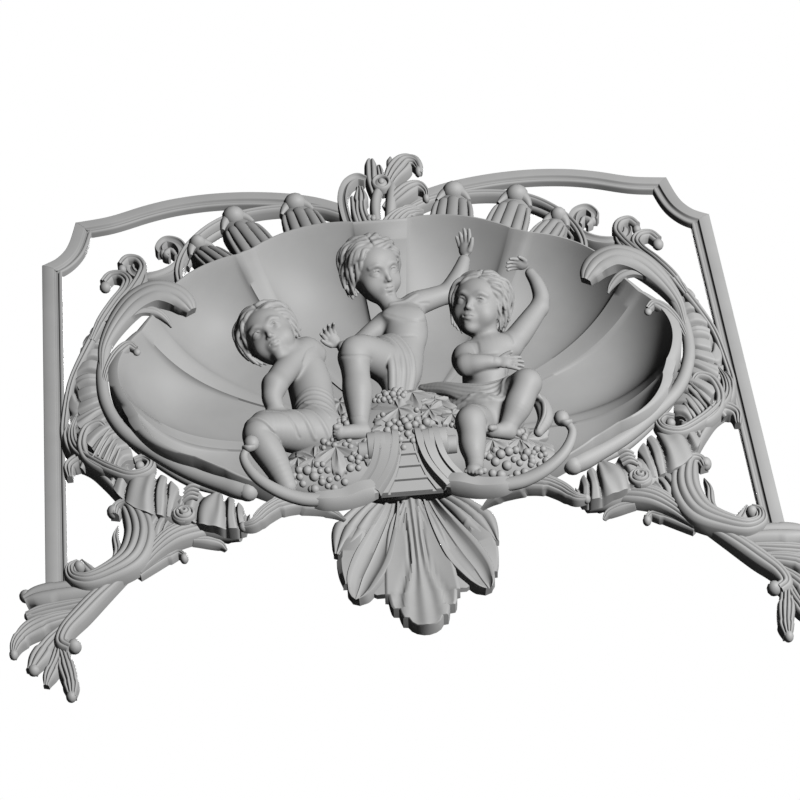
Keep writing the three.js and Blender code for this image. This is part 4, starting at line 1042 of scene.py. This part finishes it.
def set_clay(clay, name):
    """The finished carving as a piece, smoothed once and thinned where it is flat."""
    piece = mesh_of(name + "_carved", [clay.skin()])
    pick(piece)
    for kind, settings in (("SMOOTH", {"factor": 0.4, "iterations": 1}), ("DECIMATE", {"ratio": clay_kept})):
        modifier = piece.modifiers.new(kind.lower(), kind)
        for key, value in settings.items():
            setattr(modifier, key, value)
        bpy.ops.object.modifier_apply(modifier=modifier.name)
    settle(piece, name)


left = Clay((-234, 18, -236), (-76, 154, 100))
left.limb([[-120, 64, -122, 32], [-121, 62, -66, 30], [-124, 64, -16, 31], [-130, 70, 12, 28],
           [-140, 78, 26, 20]], 8)
left.limb([[-140, 80, 20, 17], [-156, 90, 22, 15], [-170, 96, 26, 14]], 8)
left.limb([[-114, 72, 32, 18], [-124, 82, 30, 20.5], [-142, 93, 2, 18.5], [-160, 104, -34, 18],
           [-173, 110, -62, 17]], 7)
left.limb([[-173, 110, -62, 17], [-178, 106, -84, 14], [-170, 96, -108, 11]], 6)
left.limb([[-112, 60, -112, 32], [-140, 76, -124, 31], [-170, 92, -133, 27], [-196, 103, -141, 23],
           [-202, 103, -150, 21], [-194, 96, -164, 22], [-182, 86, -186, 19.5], [-168, 74, -222, 13]], 6)
left.limb([[-146, 66, -112, 24], [-172, 86, -116, 21], [-192, 99, -124, 18]], 8)
# the cloth: fine gathers round the waist, long creases over the thigh, its hem at the knee
for z, r, x0, x1, drop in ((-55, 0.8, -148, -94, 2), (-60, 1.7, -152, -92, 7), (-68, 1.1, -150, -90, 8),
                           (-75, 2.1, -156, -90, 17), (-86, 1.3, -154, -92, 14)):
    left.ridge([[x0, 76, z - 12, r * 0.5], [x0 * 0.6 + x1 * 0.4, 96, z - drop * 0.3, r],
                [x1 - 8, 90, z - drop * 0.7, r],
                [x1, 68, z - drop * 1.3, r * 0.7]], -0.9, 3)
for rows in ([[-168, 106, -100, 1], [-152, 108, -112, 2.2], [-134, 102, -134, 2.8], [-120, 92, -158, 1.6]],
             [[-150, 104, -88, 1], [-130, 104, -104, 2.2], [-112, 96, -128, 2.4], [-100, 82, -150, 1.2]],
             [[-138, 100, -82, 1], [-118, 98, -94, 2], [-104, 88, -114, 1.6]]):
    left.ridge(rows, -0.6, 3.5)
left.ridge([[-190, 122, -120, 0.6], [-172, 118, -120, 1.3], [-156, 112, -136, 1.6], [-142, 100, -162, 1.2]],
           0.5, 2, cut=True)
left.ridge([[-216, 110, -136, 0.8], [-206, 122, -136, 1.4], [-192, 120, -144, 1.6], [-180, 112, -152, 0.8]],
           -0.5, 3)
left.ridge([[-212, 112, -143, 0.8], [-202, 120, -143, 1.1], [-190, 118, -150, 1.1], [-180, 110, -158, 0.6]],
           0.8, 2, cut=True)
# under the arm, and the creases of the elbow
left.ridge([[-112, 96, 22, 0.8], [-122, 102, 8, 1.6], [-130, 102, -14, 1.8]], 0.8, 3, cut=True)
head(left, (-174, 105, 40), (-0.12, 0.86, -0.46), (-0.42, 0.62, 0.66), part=-0.1, curl=1.2, length=116,
     fall_by=13, seed=3)
set_clay(left, "left_putto")


# Middle putto: it sits back on one hip and turns to its left, one arm raised behind the right
# putto's head, the other hand open beside its raised knee, and a banded sash round the hips.
middle = Clay((-126, 18, -190), (150, 165, 262))
middle.limb([[-4, 60, -58, 18], [2, 60, -24, 26], [7, 60, 6, 31], [14, 60, 44, 30], [20, 64, 74, 32],
             [22, 68, 94, 26], [14, 72, 106, 15]], 9,
            squash=(1, 0.9, 1))
middle.limb([[8, 76, 104, 15], [-4, 86, 122, 14], [-12, 92, 138, 14.5]], 7)
middle.limb([[16, 70, 98, 17], [36, 74, 115, 18.5], [62, 73, 127, 16], [88, 70, 139, 14.5]], 7)
middle.limb([[86, 70, 138, 14.5], [100, 74, 158, 13.5], [110, 80, 175, 11.5], [116, 84, 190, 9]], 4)
hand(middle, (120, 88, 210), (-0.5, 0.75, -0.35), (0.2, 0.1, 1), 7, 14, 1.05, thumb=-1)
middle.limb([[-8, 70, 88, 16], [-30, 66, 72, 14], [-52, 60, 58, 12], [-70, 62, 52, 9.5]], 6)
hand(middle, (-84, 68, 62), (0.2, 0.55, -0.6), (-0.55, 0.35, 0.75), 10, 40, 0.98, thumb=1)
middle.limb([[4, 58, -4, 29], [-14, 80, -6, 29], [-36, 104, -12, 27], [-53, 122, -22, 24],
             [-60, 125, -34, 22]], 7)
middle.limb([[-60, 123, -34, 22], [-60, 114, -62, 19.5], [-60, 108, -84, 21], [-61, 98, -108, 17],
             [-62, 91, -126, 13.5], [-62, 88, -138, 12.5]], 5)
foot(middle, (-63, 90, -144), (-98, 110, -164), (-0.3, -0.3, 0.9), 9.6)
middle.ball((-62, 138, -26), (12, 8, 13), 8)
middle.ball((6, 89, 84), (15, 6, 11), 14)
middle.ball((34, 85, 81), (12, 6, 11), 14)
# the sash: bands that curve from behind the thigh over the hip and down beside the fruit
for k in range(5):
    t = k / 4
    rows = np.array([[-38, 84, 38], [-22, 102, 16], [-12, 106, -8], [-9, 102, -36],
                     [-11, 86, -62]]) * (1 - t)
    rows += np.array([[-30, 80, 42], [0, 93, 34], [18, 90, 4], [20, 80, -28], [12, 66, -56]]) * t
    bulk = (1, 0.7, 1.15, 0.8, 1)[k]
    middle.limb([[*row, thick * bulk] for row, thick in zip(rows, (3.2, 4.6, 5.6, 6.2, 6))], 2.6)
middle.ridge([[-78, 132, -38, 0.6], [-66, 138, -46, 1.2], [-50, 134, -44, 1.2], [-40, 122, -36, 0.6]], 0.7,
             2.5, cut=True)
middle.ridge([[-74, 102, -128, 0.6], [-62, 106, -131, 1], [-48, 98, -129, 0.6]], 0.6, 1.5, cut=True)
middle.ridge([[-14, 96, 84, 0.4], [6, 96, 71, 0.9], [30, 90, 66, 0.9], [44, 80, 72, 0.4]], 1.2, 3.5,
             cut=True)
middle.ridge([[-6, 92, 50, 0.6], [14, 92, 40, 1], [34, 84, 42, 0.6]], 0.8, 3, cut=True)
middle.ridge([[18, 90, 110, 0.8], [40, 92, 102, 1.2], [58, 84, 106, 0.8]], 0.8, 3, cut=True)
middle.ridge([[2, 90, 102, 0.8], [20, 90, 106, 1.6], [40, 92, 118, 1.2]], -0.4, 3)
head(middle, (-17, 100, 163), (0.45, 0.6, -0.66), (-0.16, 0.69, 0.7), part=0.15, curl=1.5, length=116,
     seed=8)
set_clay(middle, "centre_putto")


# Right putto: it leans back on the fruit with one arm raised over its head, the other hand on
# its belly, and a cloth swept across its lap from the middle of the group.
right = Clay((26, 18, -284), (240, 165, 172))
right.limb([[124, 58, -112, 28], [123, 62, -70, 33], [122, 66, -34, 32], [128, 70, -8, 32]], 9,
           squash=(1, 0.92, 1))
right.limb([[108, 72, 4, 21], [136, 74, 8, 25], [160, 74, 14, 20]], 9)
right.limb([[134, 80, 18, 16], [132, 88, 36, 14.5], [128, 95, 50, 14.5]], 6)
right.ball((124, 90, -44), (25, 14, 24), 9)
right.limb([[108, 74, 8, 16], [97, 84, -6, 17], [93, 93, -26, 17], [95, 100, -42, 15.5]], 5)
right.limb([[95, 100, -43, 15.5], [108, 105, -46, 13.5], [122, 107, -47, 11], [134, 107, -48, 9]], 4)
hand(right, (147, 108, -50), (-0.1, 0.9, -0.2), (0.97, -0.14, -0.16), 7, -14, 0.95, thumb=1)
right.limb([[158, 74, 12, 17], [174, 77, 28, 17.5], [196, 80, 58, 15.5], [212, 83, 80, 13.5]], 6)
right.limb([[213, 83, 80, 13], [217, 88, 98, 12], [213, 96, 118, 10], [206, 101, 134, 7.8]], 4)
hand(right, (195, 107, 148), (0.15, 0.2, -0.95), (-0.9, 0.22, 0.2), 6, 24, 0.9, thumb=-1)
right.limb([[138, 62, -104, 27], [154, 86, -100, 26], [168, 106, -98, 22], [173, 114, -102, 20]], 7)
right.limb([[172, 114, -102, 20], [165, 111, -118, 19.5], [156, 105, -135, 20], [146, 98, -151, 15.5],
            [138, 93, -164, 12]], 5)
foot(right, (135, 93, -168), (109, 108, -182), (-0.3, 0.35, 0.9), 9.4)
right.limb([[112, 62, -120, 26], [100, 90, -144, 24], [90, 112, -162, 21.5], [87, 118, -172, 20]], 7)
right.limb([[87, 118, -172, 20], [87, 113, -192, 19], [86, 110, -206, 18.5], [86, 107, -222, 14.5],
            [86, 107, -238, 11.5]], 5)
foot(right, (85, 107, -240), (81, 118, -266), (0, 0.85, 0.5), 9.6)
# the cloth: a swag under the belly, flat cloth between the legs, its end behind the thigh
right.limb([[30, 56, -42, 7], [58, 66, -58, 14], [88, 78, -82, 18], [112, 86, -94, 18], [136, 90, -88, 14],
            [156, 92, -72, 8]], 6)
right.limb([[60, 54, -92, 18], [90, 70, -108, 26], [122, 78, -124, 28], [148, 74, -132, 18]], 8)
right.limb([[182, 74, -84, 8], [194, 70, -102, 11], [196, 64, -124, 11], [184, 60, -144, 7]], 6)
for k in range(5):
    t = k / 4
    right.ridge([[30 + 4 * t, 58, -36 - 10 * t, 0.8], [58, 80, -50 - 24 * t, 1.8 + 0.8 * (k % 2)],
                 [88, 98, -74 - 34 * t, 2.4 + 0.8 * (k % 2)], [114, 104, -84 - 34 * t, 2.4 + 0.6 * (k % 2)],
                 [138, 104, -78 - 28 * t, 1.8], [158, 100, -66 - 16 * t, 0.8]], -0.2, 3)
for k in range(2):
    right.ridge([[72 + 8 * k, 84, -102 - 8 * k, 0.8], [98 + 8 * k, 94, -106 - 6 * k, 2.4],
                 [124 + 4 * k, 98, -116 - 4 * k, 2.6], [146, 96, -112 + 2 * k, 1]], -0.5, 2.6)
for k in range(3):
    right.ridge([[178 + 5 * k, 94, -84, 1.2], [192 + 3 * k, 88, -104, 2.4], [191 + 3 * k, 80, -126, 2.4],
                 [180 + 2 * k, 72, -146, 1.2]], -0.4, 1.6)
right.ridge([[104, 120, -170, 0.6], [98, 126, -154, 1.2], [84, 126, -150, 1.2], [72, 116, -158, 0.6]],
            0.6, 2, cut=True)
right.ridge([[131, 116, -42, 0.5], [133, 118, -49, 0.9], [131, 116, -56, 0.5]], 0.5, 1.5, cut=True)
right.ridge([[148, 96, 36, 0.6], [158, 96, 22, 1.2], [166, 92, 4, 1]], 0.6, 3, cut=True)
right.ridge([[104, 96, 14, 0.8], [114, 98, 4, 1.2], [116, 96, -14, 0.8]], 0.7, 3, cut=True)
right.ridge([[108, 96, -16, 0.6], [128, 98, -22, 1.2], [150, 92, -14, 0.6]], 0.8, 3, cut=True)
head(right, (124, 106, 67), (-0.37, 0.82, -0.43), (0.1, 0.72, 0.68), part=-0.12, curl=1.2, length=120,
     seed=21)
set_clay(right, "right_putto")

# Fruit bed: a mound of grapes and vine leaves that the putti sit on, carved in one over a solid
# ground. The leaves have five lobes with hollows between the veins and thin, turned edges.
mound = np.array([[-186, 40, -198, 16, 26], [-150, 44, -186, 40, 34], [-105, 46, -168, 60, 38],
                  [-60, 48, -150, 74, 40], [0, 50, -130, 84, 44], [60, 50, -142, 78, 42],
                  [110, 47, -168, 60, 40], [150, 44, -186, 44, 36], [198, 42, -198, 20, 27]], float)
berry_lift = 3
leaf_points = 80


def on_mound(x, z):
    """How far the front of the mound stands out at x, z."""
    forward, middle, half, deep = (np.interp(x, mound[:, 0], mound[:, k]) for k in (1, 2, 3, 4))
    return forward + deep * math.sqrt(max(0.12, 1 - ((z - middle) / (half * 1.12)) ** 2))


def berry(x, forward, z, radius):
    """One grape."""
    return skin([[(x + radius * math.sin(p) * math.cos(a), forward + radius * math.cos(p),
                   z + radius * math.sin(p) * math.sin(a))
                  for a in np.linspace(0, 2 * math.pi, 11)[:-1]] for p in (0.25, 0.8, 1.35, 1.9, 2.5)])


def bunch(x, z, half_x, half_z, many, radius, seed):
    """Grapes heaped over an oval patch of the mound, none closer than a touch apart."""
    rng, laid = random.Random(seed), []
    for _ in range(many * 60):
        a, r = rng.uniform(0, 6.283), rng.uniform(0, 1) ** 0.5
        size = radius * rng.uniform(0.72, 1.12)
        u, v = x + half_x * r * math.cos(a), z + half_z * r * math.sin(a)
        if all(math.hypot(u - p, v - q) > 0.8 * (size + s) for p, q, s in laid):
            laid.append((u, v, size))
        if len(laid) == many:
            break
    heap = lambda u, v: 3 * (1 - math.hypot((u - x) / half_x, (v - z) / half_z))
    return [berry(u, on_mound(u, v) + berry_lift * size * 0.3 + heap(u, v), v, size) for u, v, size in laid]


def vine_leaf(x, z, length, turn, lift, seed):
    """A vine leaf from its stem at x, z, its middle lobe along turn (degrees, 0 is down)."""
    rng = random.Random(seed)
    lobes = [(0, 1.0, 0.3), (58, 0.86, 0.27), (-58, 0.88, 0.27), (118, 0.62, 0.28), (-118, 0.6, 0.28)]
    angles = np.linspace(-math.pi, math.pi, leaf_points + 1)[:-1]
    reach = np.zeros(leaf_points) + 0.42
    vein = np.zeros(leaf_points)
    for degrees, size, wide in lobes:
        away = (angles - math.radians(degrees) + math.pi) % (2 * math.pi) - math.pi
        lobe = size * np.exp(-(np.abs(away) / (wide * 1.75)) ** 3)
        frill = 1 + 0.06 * np.cos(away * 22)
        reach = np.maximum(reach, lobe * frill)
        vein = np.maximum(vein, np.exp(-(away / 0.11) ** 2))
    phase = rng.uniform(0, 6)
    rings = []
    for share, drop, thick in ((1, 1, 6), (1, 1, 1.6), (0.97, 0.35, 0),
                               *((share, 0, 0) for share in (0.9, 0.78, 0.62, 0.46, 0.3, 0.15, 0.04))):
        ring = []
        for k, angle in enumerate(angles):
            r = reach[k] * share * length
            a = angle + math.radians(turn)
            u, v = x + r * math.sin(a), z - r * math.cos(a)
            hollow = 3.2 * (vein[k] - 0.55) * math.sin(math.pi * min(1, share * 1.08)) ** 0.7
            wave = 1.6 * share * math.sin(2.5 * angle + phase) + 2.2 * share**2 * math.cos(5 * angle)
            droop = 3.5 * (share - 0.5) * (share > 0.5)
            ring.append((u, on_mound(u, v) + lift + hollow + wave - 1.4 * drop - thick - droop, v))
        rings.append(ring)
    return skin(rings)


# leaves: x, z, length, turn; bunches: x, z, half width, half height, how many, radius
leaves = ((16, -72, 44, 12), (-6, -112, 44, -52), (36, -120, 30, 78), (46, -92, 36, 55),
          (-128, -182, 30, -128), (-97, -170, 42, 4), (166, -152, 42, 58), (154, -176, 28, 10),
          (116, -182, 28, 8), (-84, -58, 26, 10), (-22, -140, 26, -70), (66, -132, 26, 20),
          (-60, -172, 30, 20), (-150, -176, 24, -60), (24, -150, 24, 60), (92, -150, 34, 30),
          (-84, -122, 24, -30))
bunches = ((-17, -76, 24, 17, 24, 5), (2, -150, 30, 17, 22, 6), (18, -121, 2, 2, 1, 5),
           (-82, -118, 9, 20, 11, 4.8), (-104, -160, 14, 10, 7, 5), (-78, -166, 7, 7, 3, 6.2),
           (-141, -218, 21, 20, 18, 6.8), (-75, -200, 9, 14, 6, 5.8), (130, -214, 40, 17, 26, 6.6),
           (176, -206, 16, 14, 9, 5.8), (158, -163, 9, 14, 5, 5.6), (68, -152, 5, 7, 4, 4.4),
           (-30, -122, 5, 5, 3, 4), (92, -196, 14, 14, 8, 6), (-112, -226, 24, 12, 14, 6),
           (-4, -176, 26, 8, 8, 5), (-120, -204, 12, 10, 6, 5.5), (-62, -184, 12, 12, 6, 5.5))
fruit_shapes = [run(mound, rod, 5)]
for seed, leaf in enumerate(leaves):
    fruit_shapes.append(vine_leaf(*leaf, 3 + 1.5 * (seed % 3), seed))
for seed, patch in enumerate(bunches):
    fruit_shapes += bunch(*patch, 40 + seed)
settle(mesh_of("fruit_bed_carved", fruit_shapes), "fruit_bed", crease=50)

# Studio: a pale floor far below, a soft key light up and to the right of the camera, a faint one
# beside it, one behind the wall for the back, and the camera where the photograph was taken from.
camera_place = Vector((-0.20466, -3.06771, -3.07480))
camera_right = Vector((0.99568, 0.02254, -0.09005))
camera_up = Vector((0.07947, -0.70837, 0.70135))
camera_ahead = Vector((0.04798, 0.70548, 0.70711))
floor_z = -3.6


def aimed(holder, place, ahead, up):
    """Puts a camera or light at place, looking along ahead."""
    back = -ahead.normalized()
    right = up.cross(back).normalized()
    turn = [right, back.cross(right), back]
    holder.matrix_world = Matrix.Translation(place) @ Matrix(turn).transposed().to_4x4()
    bpy.context.scene.collection.objects.link(holder)
    return holder


def soft_light(name, right, up, back, size, watts, shadow, bounces):
    """A disc of light, placed right, up and back of the camera in metres, aimed at the carving."""
    lamp = bpy.data.lights.new(name, "AREA")
    lamp.shape = "DISK"
    lamp.size = size
    lamp.energy = watts
    lamp.use_shadow = shadow
    lamp.cycles.max_bounces = bounces
    target = Vector((0, -0.05, 0))  # the middle of the carving
    place = camera_place + camera_right * right + camera_up * up - camera_ahead * back
    aimed(bpy.data.objects.new(name, lamp), place, target - place, camera_up).visible_camera = False


lens = bpy.data.cameras.new("camera")
lens.sensor_width = 36
lens.lens = 137.56
camera = aimed(bpy.data.objects.new("camera", lens), camera_place, camera_ahead, camera_up)
bpy.context.scene.camera = camera
bpy.context.scene.view_settings.view_transform = "Standard"
soft_light("key_light", 3.2, 2.3, -0.3, 0.6, 430, False, 0)
soft_light("fill_light", 0.1, 0.2, 0, 1.2, 9, True, 2)
soft_light("back_light", 0.3, 0.3, -8.7, 1.2, 220, True, 0)

world = bpy.data.worlds.new("studio")
world.use_nodes = True
bpy.context.scene.world = world
tree = world.node_tree
room = tree.nodes["Background"]
room.inputs["Color"].default_value = (0.9, 0.9, 0.9, 1)
room.inputs["Strength"].default_value = 0.01
paper = tree.nodes.new("ShaderNodeBackground")
paper.inputs["Color"].default_value = (1, 1, 1, 1)
seen = tree.nodes.new("ShaderNodeLightPath")
mix = tree.nodes.new("ShaderNodeMixShader")
tree.links.new(seen.outputs["Is Camera Ray"], mix.inputs["Fac"])
tree.links.new(room.outputs[0], mix.inputs[1])
tree.links.new(paper.outputs[0], mix.inputs[2])
tree.links.new(mix.outputs[0], tree.nodes["World Output"].inputs["Surface"])

bpy.ops.object.select_all(action="DESELECT")
bpy.ops.mesh.primitive_plane_add(size=14, location=(0, 0, floor_z))
floor = bpy.context.active_object
floor.name = "floor"
floor_paint = bpy.data.materials.new("floor_paint")
floor_paint.use_nodes = True
paint = floor_paint.node_tree.nodes["Principled BSDF"]
paint.inputs["Base Color"].default_value = (0.8, 0.8, 0.8, 1)
paint.inputs["Roughness"].default_value = 0.8
floor.data.materials.append(floor_paint)
floor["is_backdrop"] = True

({"cad": [list(corner) for corner in cad_box],
           "visual": [list(corner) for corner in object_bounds()]})
